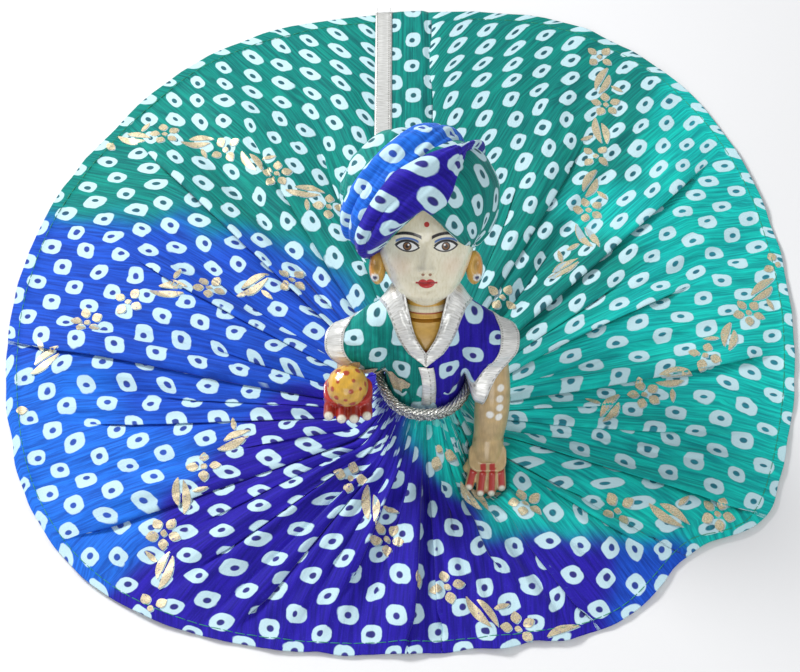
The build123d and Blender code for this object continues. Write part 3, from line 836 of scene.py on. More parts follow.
def hem_stitches():
    """A running stitch of green thread all round, a little inside the hem."""
    inside, stitch, gap, thread = 4.6, 3.6, 0.7, 0.15
    parts = []
    angle = radians(93)
    while angle < radians(93 + 352):
        far = hem_far(angle) - HEM_INSET - inside
        span = np.linspace(0, stitch, 4) / far + angle
        line_far = hem_far(span) - HEM_INSET - inside
        x, y = WAIST[0] + line_far * np.cos(span), WAIST[1] + line_far * np.sin(span)
        z = drop_on(SKIRT_TREE, x, y) + np.array([-0.05, 0.12, 0.12, -0.05])
        parts.append(tube(np.stack([x, y, z], -1), thread, 5))
        angle += (stitch + gap) / far
    s = Shader("green_thread", Roughness=0.5)
    x, y, z = s.place()
    twist = s.grain(s.vector(x, y, z), 3.0, 2.0)
    s.finish(s.mix(twist, (0.01, 0.20, 0.10), (0.05, 0.42, 0.22)), twist, 0.5, 0.5, 0.0001)
    stitches = make("hem_stitches", *gather(parts), s.material)
    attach(stitches, "torso")
    return stitches


# gold vines on the skirt: points along each stem
VINES = [
    [(-141, 84), (-109, 88), (-81, 79), (-58, 62), (-30, 42)],
    [(94, 139), (96, 109), (89, 79), (84, 51), (81, 27)],
    [(166, 18), (152, -6), (135, -28), (110, -46), (84, -58)],
    [(84, -104), (119, -108), (146, -101)],
    [(-163, -60), (-150, -33), (-134, -14)],
    [(-120, -6), (-96, 2), (-72, 2), (-46, 6)],
    [(-98, -148), (-93, -132), (-95, -114), (-84, -90), (-68, -72)],
    [(-23, -88), (-12, -102), (-6, -119), (10, -132), (28, -146), (50, -157), (78, -157)],
    [(14, -82), (28, -99), (50, -103)],
    [(42, -4), (58, -2), (70, 12)],
]
STEM_STEP = 13.8  # between a flower and the next pair of leaves


def along(points, step):
    """Points and directions at even steps along a smooth line through points."""
    points = np.asarray(points, float)
    run = np.concatenate([[0], np.cumsum(np.linalg.norm(np.diff(points, axis=0), axis=1))])
    fine = np.linspace(0, run[-1], 200)
    curve = np.stack([np.interp(fine, run, points[:, i]) for i in (0, 1)], -1)
    kernel = np.hanning(41) / np.hanning(41).sum()
    padded = np.pad(curve, ((20, 20), (0, 0)), "edge")
    curve = np.stack([np.convolve(padded[:, i], kernel, "valid") for i in (0, 1)], -1)
    count = max(2, int(run[-1] / step))
    pick = np.linspace(4, 195, count).astype(int)
    way = unit(curve[np.minimum(pick + 3, 199)] - curve[np.maximum(pick - 3, 0)])
    return curve[pick], way


def leaf(centre, way, length, width, inner=0.5):
    """A flat leaf as a small grid; inner is how full its near edge is beside its outer one."""
    steps, sides = 13, 7
    t = np.linspace(0, 1, steps)[:, None]
    w = np.linspace(-1, 1, sides)[None, :]
    across = np.array([-way[1], way[0]])
    half = width * np.sin(pi * np.clip(t, 0.015, 0.99)) ** 0.7 * (1.1 - 0.3 * t)
    xy = centre + (t[..., None] - 0.5) * length * way
    xy = xy + (half * np.where(w > 0, w * (1 - inner), w * inner))[..., None] * across
    return xy.reshape(-1, 2), grid_faces(steps, sides).tolist()


def turned(way, degrees):
    """A direction on the ground, turned to the left."""
    a = radians(degrees)
    return np.array([way[0] * cos(a) - way[1] * sin(a), way[0] * sin(a) + way[1] * cos(a)])


def vine_shapes():
    """Flat shapes along the vines: flowers of four or five petals and pairs of leaves, by turns."""
    shapes = []
    for vine in VINES:
        for i, (spot, way) in enumerate(zip(*along(vine, STEM_STEP))):
            if i % 2 == 0:
                spin = turned(way, rng.uniform(30, 60))
                petals = 4 + (i // 2) % 2
                for j in range(petals):
                    out = turned(spin, 360 / petals * j)
                    shapes.append(leaf(spot + out * 4.7, out, rng.uniform(4.4, 5.0), rng.uniform(3.8, 4.4)))
                shapes.append(leaf(spot, way, 2.8, 2.6))
            else:
                tilt = turned(way, (i % 4 - 2) * 24 + rng.uniform(-6, 6))
                over = np.array([-tilt[1], tilt[0]])
                long = rng.uniform(13.0, 16.0)
                shapes.append(leaf(spot - over * 1.0, tilt, long, 3.5, 0.85))
                shapes.append(leaf(spot + over * 1.0 + tilt * 2.6, tilt, long * 0.85, 3.2, 0.15))
                side = 1 if i % 4 == 1 else -1
                small = spot + way * 6.2 + np.array([-way[1], way[0]]) * side * 5.5
                shapes.append(leaf(small, turned(way, side * 50), 6.4, 2.2))
    return shapes


def foil_vines():
    """The vines in gold foil over a white print, laid on the skirt's folds."""
    parts, white_parts, colours = [], [], []
    for xy, faces in vine_shapes():
        dx, dy = (xy - WAIST).T
        if not (np.hypot(dx, dy) < hem_far(np.arctan2(dy, dx)) - 1.5).all():
            continue  # it would pass over the hem
        z = drop_on(SKIRT_TREE, xy[:, 0], xy[:, 1])
        if z.max() - z.min() > 5:
            continue  # it would hang between a fold's top and the cloth beneath
        z = np.maximum(z, z.mean() - 0.6) + 0.18
        parts.append((np.column_stack([xy, z]), faces))
        # the white printed under the foil shows along one edge, where the two don't quite meet
        low = xy + (0.42, -0.38)
        under = drop_on(SKIRT_TREE, low[:, 0], low[:, 1])
        under = np.minimum(np.maximum(under, under.mean() - 0.6), z + 0.2)
        white_parts.append((np.column_stack([low, under + 0.03]), faces))
        colours.append(dye_at(xy[:, 0], xy[:, 1]))
    vines = make("gold_vines", *gather(parts), GOLD, colour=np.concatenate(colours))
    white = make("foil_underprint", *gather(white_parts), UNDERPRINT)
    for piece in (vines, white):
        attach(piece, "torso")
    return [vines, white]


HEM = hem_stitches()
VINE_FOIL = foil_vines()


# ---------------------------------------------------------------- back opening
FLAP_TOP = 2.78
FLAP_THICK = 0.45
SEAM_TOP = 1.45  # the flap's upper face where it is sewn down
SEAM_SLOPE = (9.6, 13.6)  # the x between which it comes down to that
SEAM_X = 14.2


def flap_wave(x, y):
    """How the flap lifts and falls along its length."""
    return 0.16 * wobble(x * 0.10, y * 0.045, 12.0)


def flap_grid(x_low, x_high, rise, columns):
    """A strip along the back opening, cut to the hem's line, sewn down at its high x edge."""
    xs = np.linspace(x_low, x_high, columns)[None, :]
    sideways = xs - WAIST[0]
    hem = hem_far(np.arctan2(165.0 - WAIST[1], sideways))
    hem_y = WAIST[1] + np.sqrt(np.maximum(hem ** 2 - sideways ** 2, 1))
    y = FLAP_Y + (hem_y - 0.6 - FLAP_Y) * np.linspace(0, 1, 58)[:, None]
    x = xs + 0 * y
    wave = flap_wave(x, y) + 0.1 * wobble(x * 0.6, y * 0.02, 14.0)
    z = FLAP_TOP + wave + rise - (FLAP_TOP - SEAM_TOP) * smooth(*SEAM_SLOPE, x)
    return x, y, z


def flap():
    """The back opening's loose flap, with a ribbon along its edge and the ribbon's stitches."""
    x, y, z = flap_grid(FLAP_X[0], SEAM_X, 0.0, 26)
    far = np.hypot(x - WAIST[0], y - WAIST[1])
    hem = hem_far(np.arctan2(y - WAIST[1], x - WAIST[0])) - HEM_INSET
    u = OPENING_U + (FIGURE_X - x)
    cloth = make("placket_flap_cloth", np.stack([x, y, z], -1), grid_faces(*x.shape), SKIRT_PRINT,
                 np.stack([u, hem - far], -1), dye_at(x, y))
    thicken(cloth, FLAP_THICK)
    # the ribbon covers the free edge
    x, y, z = flap_grid(FLAP_X[0] - 0.2, FLAP_X[0] + 7.8, 0.34, 9)
    u = x - FLAP_X[0]
    trim = make("placket_trim", np.stack([x, y, z], -1), grid_faces(*x.shape), RIBBON, np.stack([u, y], -1))
    thicken(trim, 0.28)
    parts = []
    stitch_pitch, stitch_long = 2.9, 1.9
    for edge in (FLAP_X[0] + 0.7, FLAP_X[0] + 7.0):
        for k in range(48):
            low = FLAP_Y + 1.5 + k * stitch_pitch
            line = np.array([[edge, low, 0], [edge, low + 0.9, 0], [edge, low + stitch_long, 0]])
            line[:, 2] = FLAP_TOP + 0.36 + flap_wave(line[:, 0], line[:, 1])
            parts.append(tube(line, 0.11, 5))
    stitches = make("placket_stitches", *gather(parts), BRAID)
    for piece in (trim, stitches):
        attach(piece, "placket")
    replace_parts(trim, "placket_ribbon")
    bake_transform(cloth)
    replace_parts(cloth, "placket_flap")


flap()
for patch in ("closure_loop_patch", "closure_hook_patch"):
    dress(patch, TAPE)


# ---------------------------------------------------------------- bodice
SLEEVE_TURNS = np.radians([-44, -30, -16, 0, 20, 40, 60, 90, 120, 160, 210, 250])
SLEEVE_REACHES = {
    1: (18.5, 22.5, 26.5, 30.0, 33.3, 35.4, 36.0, 36.0, 34.0, 30.0, 24.0, 17.5),
    -1: (18.0, 22.0, 28.5, 33.5, 36.5, 38.6, 39.0, 38.6, 36.0, 31.0, 24.0, 17.5),
}
LEFT_ARM_TURN = radians(-47)  # the planted arm's direction; the left front lies on it
FRONT_LOW, BACK_LOW = radians(-41), radians(250)  # the bodice's hem, as turns about the shoulders
APEX = radians(38)  # the V neck's point
NECK_TURNS = np.radians([38, 62, 90, 106, 120, 134, 148, 158, 164])
NECK_REACHES = (0.0, 3.1, 6.4, 9.0, 11.4, 12.4, 11.0, 7.5, 0.0)
REACH_STEP, TURN_STEP = 0.5, radians(3)
SLEEVE_RADIUS = 10.9  # and of the cloth round the neck's foot
RIBBON_WIDE = 7.0
CLOTH_RADIUS = 14.0  # turns the turn about the shoulders into a length along the cloth


def measured_form(reach, turn):
    """How far the body stands from the shoulder line, and the cloth over it with plain round sleeves."""
    names = ("torso", "bodice_front_left", "bodice_front_right", "bodice_back")
    foot = NECK_FOOT + np.array([[-1.0], [6.0]]) * NECK_WAY
    tree = tree_of(*[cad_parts[n] for n in names], extra=tube(foot, SLEEVE_RADIUS, 40))
    table = np.zeros((len(reach), len(turn)))
    body = np.zeros_like(table)
    for i, r in enumerate(reach):
        sleeve = SLEEVE_RADIUS - 2.3 * float(smooth(22, 38, r))
        side = float(smooth(14, 22, r))
        axis = Vector((FIGURE_X + min(r, 18.0), SHOULDER_Y, SHOULDER_Z))
        for j, a in enumerate(turn):
            out = Vector((0, -cos(a), sin(a)))
            hit = tree.ray_cast(axis + out * 60, -out) if r < 17.5 else [None]
            near = (hit[0] - axis).dot(out) if hit[0] is not None else 0.0
            body[i, j] = near
            table[i, j] = near * (1 - side) + sleeve * side if near > 6 else max(sleeve, 11.5 * (1 - side))
    return body, table


def bodice_form():
    """How far the cloth stands from the shoulder line, by reach from the middle and turn about that line."""
    reach = np.arange(0, 42.6, REACH_STEP)
    turn = np.arange(radians(-60), radians(266), TURN_STEP)
    body, table = measured_form(reach, turn)
    for _ in range(5):
        table = (np.roll(table, 1, 1) + 2 * table + np.roll(table, -1, 1)) / 4
    fixed = table.copy()
    for _ in range(16):
        padded = np.pad(table, ((1, 1), (0, 0)), "edge")
        table = (padded[:-2] + 2 * table + padded[2:]) / 4
    outer = smooth(30, 36, reach)[:, None]
    table = table * (1 - outer) + fixed * outer
    table = np.where(body > 6, np.maximum(table, body + 0.15), table)
    # the cloth stands away from the back behind the shoulders
    behind = np.exp(-(((turn - radians(126)) / radians(34)) ** 2))
    table = table + 9.0 * smooth(34, 12, reach)[:, None] * behind[None]
    # the left front lies on the planted arm
    over = np.clip(7.6 / np.sin(np.clip(turn - LEFT_ARM_TURN, 0.2, pi / 2)), 0, 23.5)
    over = over[None] * (smooth(12, 20, reach) * smooth(38, 33, reach))[:, None] * (turn < 0.4)
    left = np.maximum(table, over)
    for _ in range(3):
        left[:, 1:-1] = (left[:, :-2] + 2 * left[:, 1:-1] + left[:, 2:]) / 4
        left[1:-1] = (left[:-2] + 2 * left[1:-1] + left[2:]) / 4
    return reach, turn, {-1: table, 1: np.maximum(left, table)}


REACH, TURN, FORMS = bodice_form()


def on_bodice(side, reach, turn, rise=0.0):
    """Points on the bodice's cloth, lifted off it by rise."""
    reach, turn = np.broadcast_arrays(np.asarray(reach, float), np.asarray(turn, float))
    i = np.clip(reach / REACH_STEP, 0, len(REACH) - 1.001)
    j = np.clip((turn - TURN[0]) / TURN_STEP, 0, len(TURN) - 1.001)
    i0, j0 = i.astype(int), j.astype(int)
    fi, fj = i - i0, j - j0
    form = FORMS[side]
    out = (
        form[i0, j0] * (1 - fi) * (1 - fj) + form[i0 + 1, j0] * fi * (1 - fj)
        + form[i0, j0 + 1] * (1 - fi) * fj + form[i0 + 1, j0 + 1] * fi * fj
    )
    out = out + rise
    crease = 0.35 * wobble(reach * 0.16, turn * 4.0, 30.0 + side)
    crease = crease + 0.15 * wobble(reach * 0.5, turn * 9.0, 33.0)
    low = smooth(radians(0), FRONT_LOW, turn)
    crease = crease + low * 0.5 * np.sin(reach * 1.5 + 2.0 * np.sin(turn * 5.0)) * smooth(1, 5, reach)
    out = out + crease * smooth(44, 30, reach)
    y, z = SHOULDER_Y - out * np.cos(turn), SHOULDER_Z + out * np.sin(turn)
    return np.stack([FIGURE_X + side * reach, y, z], -1)


def neck_reach(turn):
    """Where the bodice's neckline is, from the middle: the V in front, then round the neck."""
    return np.interp(turn, NECK_TURNS, NECK_REACHES)


def sleeve_reach(side, turn):
    """Where the sleeve ends, from the middle: furthest at the shoulder's tip, then slanting inwards."""
    return np.interp(turn, SLEEVE_TURNS, SLEEVE_REACHES[side])


def even(values, times):
    """Softens corners in a line of values."""
    for _ in range(times):
        inner = (values[:-2] + 2 * values[1:-1] + values[2:]) / 4
        values = np.concatenate([values[:1], inner, values[-1:]])
    return values


def bodice_patch(name, side, turns, low, high, columns, rise, thick, material):
    """A piece of cloth or ribbon on the bodice between two lines of reach."""
    t = np.linspace(0, 1, columns)[None, :]
    reach = low[:, None] * (1 - t) + high[:, None] * t
    turn = turns[:, None] + 0 * reach
    points = on_bodice(side, reach, turn, rise)
    length = CLOTH_RADIUS * turn
    uv = np.stack([reach * side + 60.0, length], -1)
    if material is RIBBON:
        uv = np.stack([t * RIBBON_WIDE + 0 * reach, length], -1)
    faces = grid_faces(*reach.shape)
    obj = make(name, points, faces if side > 0 else faces[:, ::-1], material, uv)
    thicken(obj, thick)
    return obj


def bodice_side(side, name, material):
    """Half of the bodice's front and shoulder with its sleeve, and the ribbons on both."""
    turns = np.linspace(FRONT_LOW, BACK_LOW, 96)
    low = neck_reach(turns)
    outer = even(sleeve_reach(side, turns), 10)
    overlap = np.where(turns < APEX, 0.0, low)
    cloth = bodice_patch(f"bodice_{name}", side, turns, overlap, outer, 40, 0.0, 0.55, material)
    band = turns[(turns > radians(-33)) & (turns < radians(215))]
    edge = np.interp(band, turns, outer)
    cuff = bodice_patch(f"sleeve_trim_{name}", side, band, edge - RIBBON_WIDE, edge + 0.3, 9,
                        0.42, 0.35, RIBBON)
    neck = np.linspace(APEX - radians(26), radians(148), 70)
    inner = neck_reach(neck)
    wide = 6.8 * np.clip((neck - neck[0]) / radians(26), 0, 1) - 0.8 * smooth(radians(90), radians(150), neck)
    rise = 0.55 if side > 0 else 0.42
    low, high = inner - 0.3 * (inner > 0), inner + wide
    trims = [cuff, bodice_patch(f"neck_trim_{name}", side, neck, low, high, 8, rise, 0.35, RIBBON)]
    for piece in (cloth, *trims):
        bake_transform(piece)
    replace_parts(cloth, f"bodice_front_{name}", f"{name}_sleeve")
    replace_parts(trims[0], f"{name}_sleeve_ribbon")
    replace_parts(trims[1], f"neck_ribbon_{name}")


# the torso's ellipses above the waist: centre y, z, lean in degrees, half width, half depth
TORSO_RINGS = [
    (-59.5, 28.0, 20.0, 13.0, 11.0), (-55.5, 40.0, 25.0, 15.5, 11.6), (-53.2, 45.6, 25.0, 16.3, 10.7),
]
BODY_EASE = 1.5


def bodice_body(side, material):
    """Half of the bodice's body under the arms, round the torso."""
    start = -side * pi / 2
    around = np.linspace(start, start + pi, 40)
    rings = []
    for t in np.linspace(-0.30, 1.72, 19):
        i = min(max(int(t), 0), 1)
        y, z, lean, wide, deep = [a + (b - a) * (t - i) for a, b in zip(TORSO_RINGS[i], TORSO_RINGS[i + 1])]
        lean = radians(lean)
        fold = 0.3 * np.sin(around * 17) * (1.7 - t) / 1.7
        # the front stays under the neckline's point
        drop = np.clip(t - 0.9, 0, None) * 9.0 * smooth(0.2, 0.9, -np.sin(around))
        ease = BODY_EASE + 2.0 * smooth(0.45, -0.1, t)
        x = (wide + ease + fold) * np.cos(around)
        back = (deep + ease + fold) * np.sin(around)
        rings.append(np.stack([FIGURE_X + x, y + back * cos(lean) - drop * sin(lean),
                               z - back * sin(lean) - drop * cos(lean)], -1))
    points = np.array(rings)
    u, v = np.meshgrid(around * 15.0, np.linspace(0, 20, len(rings)))
    name = "bodice_body_left" if side > 0 else "bodice_body_right"
    body = make(name, points, grid_faces(*points.shape[:2]), material, np.stack([u, v], -1))
    thicken(body, 0.5, 0.0)
    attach(body, "torso")
    return body


bodice_side(-1, "right", TEAL_PRINT)
bodice_side(1, "left", NAVY_PRINT)
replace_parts(bodice_body(-1, TEAL_PRINT), "bodice_back")
bodice_body(1, NAVY_PRINT)


def bodice_foil():
    """Gold leaves near the right panel's lower edge."""
    shapes = [
        ((23.0, -0.6), (0.9, -0.4), 9.0), ((10.5, -5.4), (1.0, -0.2), 9.0), ((13.0, -8.0), (1.0, 0.1), 7.5),
        ((28.5, 2.6), (0.8, -0.6), 7.0), ((18.5, -3.4), (1.0, -0.5), 6.0),
    ]
    parts = []
    for spot, way, long in shapes:
        flat, faces = leaf(np.array(spot), unit(way), long, 3.8, 0.8)
        parts.append((on_bodice(-1, flat[:, 0], flat[:, 1] / CLOTH_RADIUS, 0.72), faces))
    points, faces = gather(parts)
    foil = make("bodice_foil", points, faces, GOLD, colour=np.tile(TEAL, (len(points), 1)))
    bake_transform(foil)


bodice_foil()


def front_tail():
    """The end of the neck ribbon, which hangs from the V's point to the belt."""
    rows, columns = 26, 7
    down = np.linspace(radians(14), radians(-48), rows)[:, None]
    across = np.linspace(-2.9, 2.9, columns)[None, :]
    t = np.linspace(0, 1, rows)[:, None]
    x = across * (1 - 0.10 * np.sin(pi * t)) + (1.6 * t + 0.6 * np.sin(4 * t))
    points = on_bodice(1, np.abs(x), down + 0 * x, 1.15)
    points[..., 0] = FIGURE_X + x
    points[..., 1] -= 0.8 * np.sin(pi * t) + 0.25 * np.sin(across * 1.1 + 3 * t)
    uv = np.stack(np.broadcast_arrays(across, 12 * down), -1)
    tail = make("front_tail", points, grid_faces(rows, columns), RIBBON, uv)
    thicken(tail, 0.3)
    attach(tail, "torso")
    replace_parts(tail, "front_ribbon_tail")


front_tail()


def plaited_belt():
    """Three flat silver strands plaited into a cord round the waist, sagging in front."""
    turns, strand, swing = 30, 1.3, 1.75
    count = turns * 10
    around = np.linspace(0, 2 * pi, count, endpoint=False)
    parts, uvs = [], []
    lean = radians(5)
    front = smooth(0.35, 1.0, -np.sin(around))
    for k in range(3):
        beat = around * turns + k * 2 * pi / 3
        sideways = swing * np.sin(beat)
        deep = 0.55 * np.sin(2 * beat)
        wide = BELT_RADII[0] + 1.0 + deep + 1.3 * front
        long = BELT_RADII[1] + 1.0 + deep + 1.6 * front
        x, back = wide * np.cos(around), long * np.sin(around)
        up = sideways + 0.4 - 0.6 * front
        points = np.stack([BELT[0] + x, BELT[1] + back * cos(lean) + up * sin(lean),
                           BELT[2] - back * sin(lean) + up * cos(lean)], -1)
        parts.append(tube(points, strand, 8, closed=True))
        uvs.append(np.stack([np.repeat(around * 17, 8), np.tile(np.arange(8) * 0.8, count)], -1))
    belt = make("plaited_belt", *gather(parts), BRAID, np.concatenate(uvs))
    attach(belt, "torso")
    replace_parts(belt, "waist_belt")


plaited_belt()


# ---------------------------------------------------------------- head
# height up the head, how far the centre is behind its axis, half width, half depth
HEAD_SECTIONS = np.array([
    (-22.0, -8.0, 4.2, 3.8), (-18.5, -5.5, 10.0, 8.8), (-11.0, -1.0, 15.2, 14.4), (-2.0, 2.0, 18.2, 17.8),
    (7.0, 3.0, 18.4, 19.0), (16.0, 3.0, 15.4, 16.4), (21.5, 3.0, 9.4, 10.4), (23.4, 3.0, 3.6, 4.2),
])
EYE_X, EYE_Z = 7.3, 0.6
NOSE_Z, MOUTH_Z = -8.6, -13.0


def curve_through(xs, ys, x):
    """A smooth curve through points, with no overshoot (Fritsch-Carlson tangents)."""
    xs, ys = np.asarray(xs, float), np.asarray(ys, float)
    slope = np.diff(ys) / np.diff(xs)
    before, after = slope[:-1], slope[1:]
    inner = np.where(after * before > 0, 2 * after * before / (after + before + 1e-12), 0)
    tangent = np.concatenate([slope[:1], inner, slope[-1:]])
    i = np.clip(np.searchsorted(xs, x) - 1, 0, len(xs) - 2)
    h = xs[i + 1] - xs[i]
    t = (x - xs[i]) / h
    return ((2 * t**3 - 3 * t**2 + 1) * ys[i] + (t**3 - 2 * t**2 + t) * h * tangent[i]
            + (3 * t**2 - 2 * t**3) * ys[i + 1] + (t**3 - t**2) * h * tangent[i + 1])


def bell(x, z, at_x, at_z, wide, high):
    """A smooth bump, 1 at its middle."""
    return np.exp(-((x - at_x) / wide) ** 2 - ((z - at_z) / high) ** 2)


def face_relief(x, z):
    """How far the calm, even features stand out of the head's plain form."""
    bridge = 3.0  # the height at which the nose starts
    down = np.clip((bridge - z) / (bridge - NOSE_Z), 0, 1)
    ridge = down ** 1.3 * smooth(NOSE_Z - 1.5, NOSE_Z + 0.8, z)
    relief = 3.5 * ridge * np.exp(-(x / (1.25 + 1.0 * down)) ** 2)
    # how far out, then the place, width and height: nostrils, sockets, eyeballs, brows, cheeks, corners
    pairs = (
        (0.9, 2.1, NOSE_Z + 0.5, 1.1, 1.2), (-1.1, EYE_X, EYE_Z, 4.6, 3.0), (0.75, EYE_X, EYE_Z, 3.0, 1.7),
        (0.45, EYE_X, EYE_Z + 5.2, 4.6, 1.3), (0.7, 9.6, -6.5, 4.6, 4.2), (-0.3, 4.4, MOUTH_Z, 1.0, 1.1),
    )
    for side in (-1, 1):
        for out, at_x, *form in pairs:
            relief += out * bell(x, z, side * at_x, *form)
    # upper lip, lower lip, the line between them, the dip under them, chin
    singles = (
        (1.0, MOUTH_Z + 1.0, 3.4, 0.95), (1.15, MOUTH_Z - 1.2, 2.7, 1.05), (-0.55, MOUTH_Z, 4.2, 0.34),
        (-0.5, MOUTH_Z - 3.2, 3.0, 0.9), (1.0, -18.4, 3.8, 2.2),
    )
    for out, *form in singles:
        relief += out * bell(x, z, 0, *form)
    return relief


def eye_layers(s, side, z):
    """Masks and colours of the painted eyes and brows, from the lowest layer up."""
    ex, ez = side - EYE_X, z - EYE_Z
    # an almond: the overlap of two discs
    almond = s.math("MAXIMUM", s.length(ex, ez + 3.3) - 5.1, s.length(ex + 0.3, ez - 4.6) - 6.1)
    eye = s.step(0.1, -0.1, almond)
    line = s.step(0.65, 0.45, almond)
    upper = s.step(0.30, 0.5, ez + ex * 0.02) * s.step(1.05, 0.85, almond)
    iris = s.length(ex, ez - 0.15)
    lid = abs(s.length(ex, ez + 4.2) - 7.4)
    lid = s.step(0.55, 0.3, lid) * s.step(4.6, 4.0, abs(ex)) * s.step(0.5, 1.2, ez)
    brow = abs(s.length(ex - 0.2, ez + 5.4) - 10.6)
    brow = s.step(0.75, 0.45, brow + s.step(2.0, 5.5, ex) * 0.35) * s.step(5.6, 5.2, abs(ex))
    brow = brow * s.step(1.5, 2.0, ez)
    glint = s.step(0.42, 0.3, s.length(ex + 0.5, ez - 0.7))
    return (
        (lid, (0.07, 0.16, 0.42)), (line, BLACK), (upper, BLACK), (eye, WHITE),
        (eye * s.step(1.75, 1.6, iris), BLACK), (eye * s.step(1.35, 1.2, iris), (0.20, 0.085, 0.02)),
        (eye * s.step(0.75, 0.6, iris), BLACK), (brow, BLACK), (glint, (1.0, 1.0, 1.0)),
    )


def mouth_layers(s, side, z):
    """Masks and colours of the lips, the line between them, and the nostrils."""
    mz = z - MOUTH_Z
    top_lip = s.math("MAXIMUM", s.length(side - 1.3, mz + 0.55) - 2.05, -0.05 - mz)
    low_lip = s.math("MAXIMUM", s.length(side * 0.62 ** 0.5, mz - 0.8) - 2.75, mz)
    corner = s.math("MAXIMUM", abs(mz) - 0.35, side - 4.1)
    lips = s.step(0.1, -0.1, s.math("MINIMUM", s.math("MINIMUM", top_lip, low_lip), corner))
    seam = s.step(0.26, 0.12, abs(mz)) * s.step(4.0, 3.6, side)
    nostril = s.step(0.75, 0.5, s.length(side - 1.35, z - NOSE_Z + 1.2))
    return (lips, (0.55, 0.022, 0.02)), (seam, (0.22, 0.008, 0.01)), (nostril, (0.30, 0.14, 0.07))


def face_paint():
    """Ivory enamel with painted features and a red mark; black hair behind; in the head's own axes."""
    s = Shader("face_paint", Coat_Weight=0.7, Coat_Roughness=0.08, Specular_IOR_Level=0.5)
    px, py, pz = s.place()
    x = px - float(HEAD[0])
    dy, dz = py - float(HEAD[1]), pz - float(HEAD[2])
    back = dy * float(BACK[1]) + dz * float(BACK[2])
    z = dy * float(UP[1]) + dz * float(UP[2])
    side = abs(x)
    brush = s.grain(s.vector(x * 1.2, back * 0.6, z * 0.5), 1.0, 3.0)
    age = s.grain(s.vector(x, back, z), 0.2, 4.0)
    skin = s.mix(s.step(0.35, 0.7, brush), IVORY, (0.86, 0.81, 0.63))
    skin = s.mix(s.step(0.52, 0.8, age) * 0.30, skin, (0.60, 0.50, 0.30))
    blush = s.step(6.0, 1.0, s.length(side - 9.8, z + 6.8))
    skin = s.mix(blush * 0.16, skin, (0.80, 0.34, 0.24))
    mark = s.step(1.1, 0.9, s.length(x, z - 9.2))
    front = s.step(-2.0, -5.0, back)
    layers = (*eye_layers(s, side, z), *mouth_layers(s, side, z), (mark, (0.50, 0.02, 0.012)))
    for mask, colour in layers:
        skin = s.mix(mask * front, skin, colour)
    hairline = back - 3.2 - (z + 9.0) * 0.10
    hair = s.step(0.0, 0.5, hairline + s.grain(s.vector(x, back, z), 0.5, 2.0) - 0.5)
    skin = s.mix(hair, skin, s.mix(brush, (0.01, 0.009, 0.012), (0.045, 0.040, 0.042)))
    return s.finish(skin, brush * 0.5 + age * 0.3, 0.22 + brush * 0.14, 0.2, 0.0002)


def head():
    """The carved and painted head, with its face in relief."""
    heights = [np.linspace(-22.6, -18, 16), np.linspace(-17.7, 11, 90), np.linspace(12, 23.7, 22)]
    heights = np.concatenate(heights)
    count = 220
    # closer together in front, where the face is
    around = np.linspace(0, 2 * pi, count, endpoint=False)
    around = around + 0.35 * np.sin(around)
    z = np.repeat(heights[:, None], count, 1)
    end_low, end_high = -22.9, 24.1
    up, *form = HEAD_SECTIONS.T
    centre, wide, deep = (curve_through(up, values, np.clip(z, up[0], up[-1])) for values in form)
    close = np.sqrt(np.clip((z - end_low) / 1.0, 0, 1)) * np.sqrt(np.clip((end_high - z) / 0.9, 0, 1))
    x = wide * close * np.sin(around + pi)
    y = centre + deep * close * np.cos(around + pi)
    facing = smooth(-3.0, -8.0, y - 0.1 * np.abs(x))
    y = y - face_relief(x, z) * facing
    points = from_head(x, y, z)
    poles = from_head(np.zeros(2), np.array([-8.0, 3.0]), np.array([end_low, end_high]))
    faces = grid_faces(len(heights), count, wrap=True)[:, ::-1].tolist()
    first, last = len(heights) * count, len(heights) * count + 1
    top = (len(heights) - 1) * count
    faces += [[first, j, (j + 1) % count][::-1] for j in range(count)]
    faces += [[last, top + (j + 1) % count, top + j][::-1] for j in range(count)]
    skull = make("head_painted", np.concatenate([points.reshape(-1, 3), poles]), faces, face_paint())
    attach(skull, "head")
    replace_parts(skull, "head")


def ears():
    """Carved ears with painted shade in the bowl, and a drilled earring hole in a pale stud, painted dark as
    its shade.
    """
    for side, name in ((-1, "right"), (1, "left")):
        a = np.linspace(0, pi, 30)[:, None]
        b = np.linspace(0, 2 * pi, 44, endpoint=False)[None, :]
        x = 3.3 * np.sin(a) * np.cos(b)
        y = 4.6 * np.sin(a) * np.sin(b)
        z = -6.6 * np.cos(a) + 0 * b
        y = y * (0.8 + 0.35 * smooth(-6, 5, z))
        out = x * side
        bowl = bell(out, z, 0.6, 1.6, 1.5, 3.0) * (y < 0)
        y = y + 1.9 * bowl
        ring = np.hypot(out - 0.9, z + 3.4) * np.where(y < 0, 1, 9)
        y = y - 0.7 * smooth(2.0, 1.0, ring)
        shape = from_head(18.7 * side + x, 0.6 + y, -9.5 + z)
        # painted shade: the ochre is darker in the ear's bowl
        colour = np.array(OCHRE) * (1 - 0.35 * smooth(0.2, 1.0, bowl))[..., None]
        colour = blend_in(colour, smooth(0.4, 2.8, out) * 0.45, (0.62, 0.13, 0.02))
        colour = blend_in(colour, smooth(1.75, 1.45, ring), WHITE)
        # painted shade: the drilled earring hole is painted near-black
        colour = blend_in(colour, smooth(1.05, 0.8, ring), (0.02, 0.02, 0.10))
        faces = grid_faces(30, 44, wrap=True)[:, ::-1]
        ear = make(f"ear_{name}", shape, faces, BODY_PAINT, colour=colour)
        weld(ear)
        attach(ear, "head")


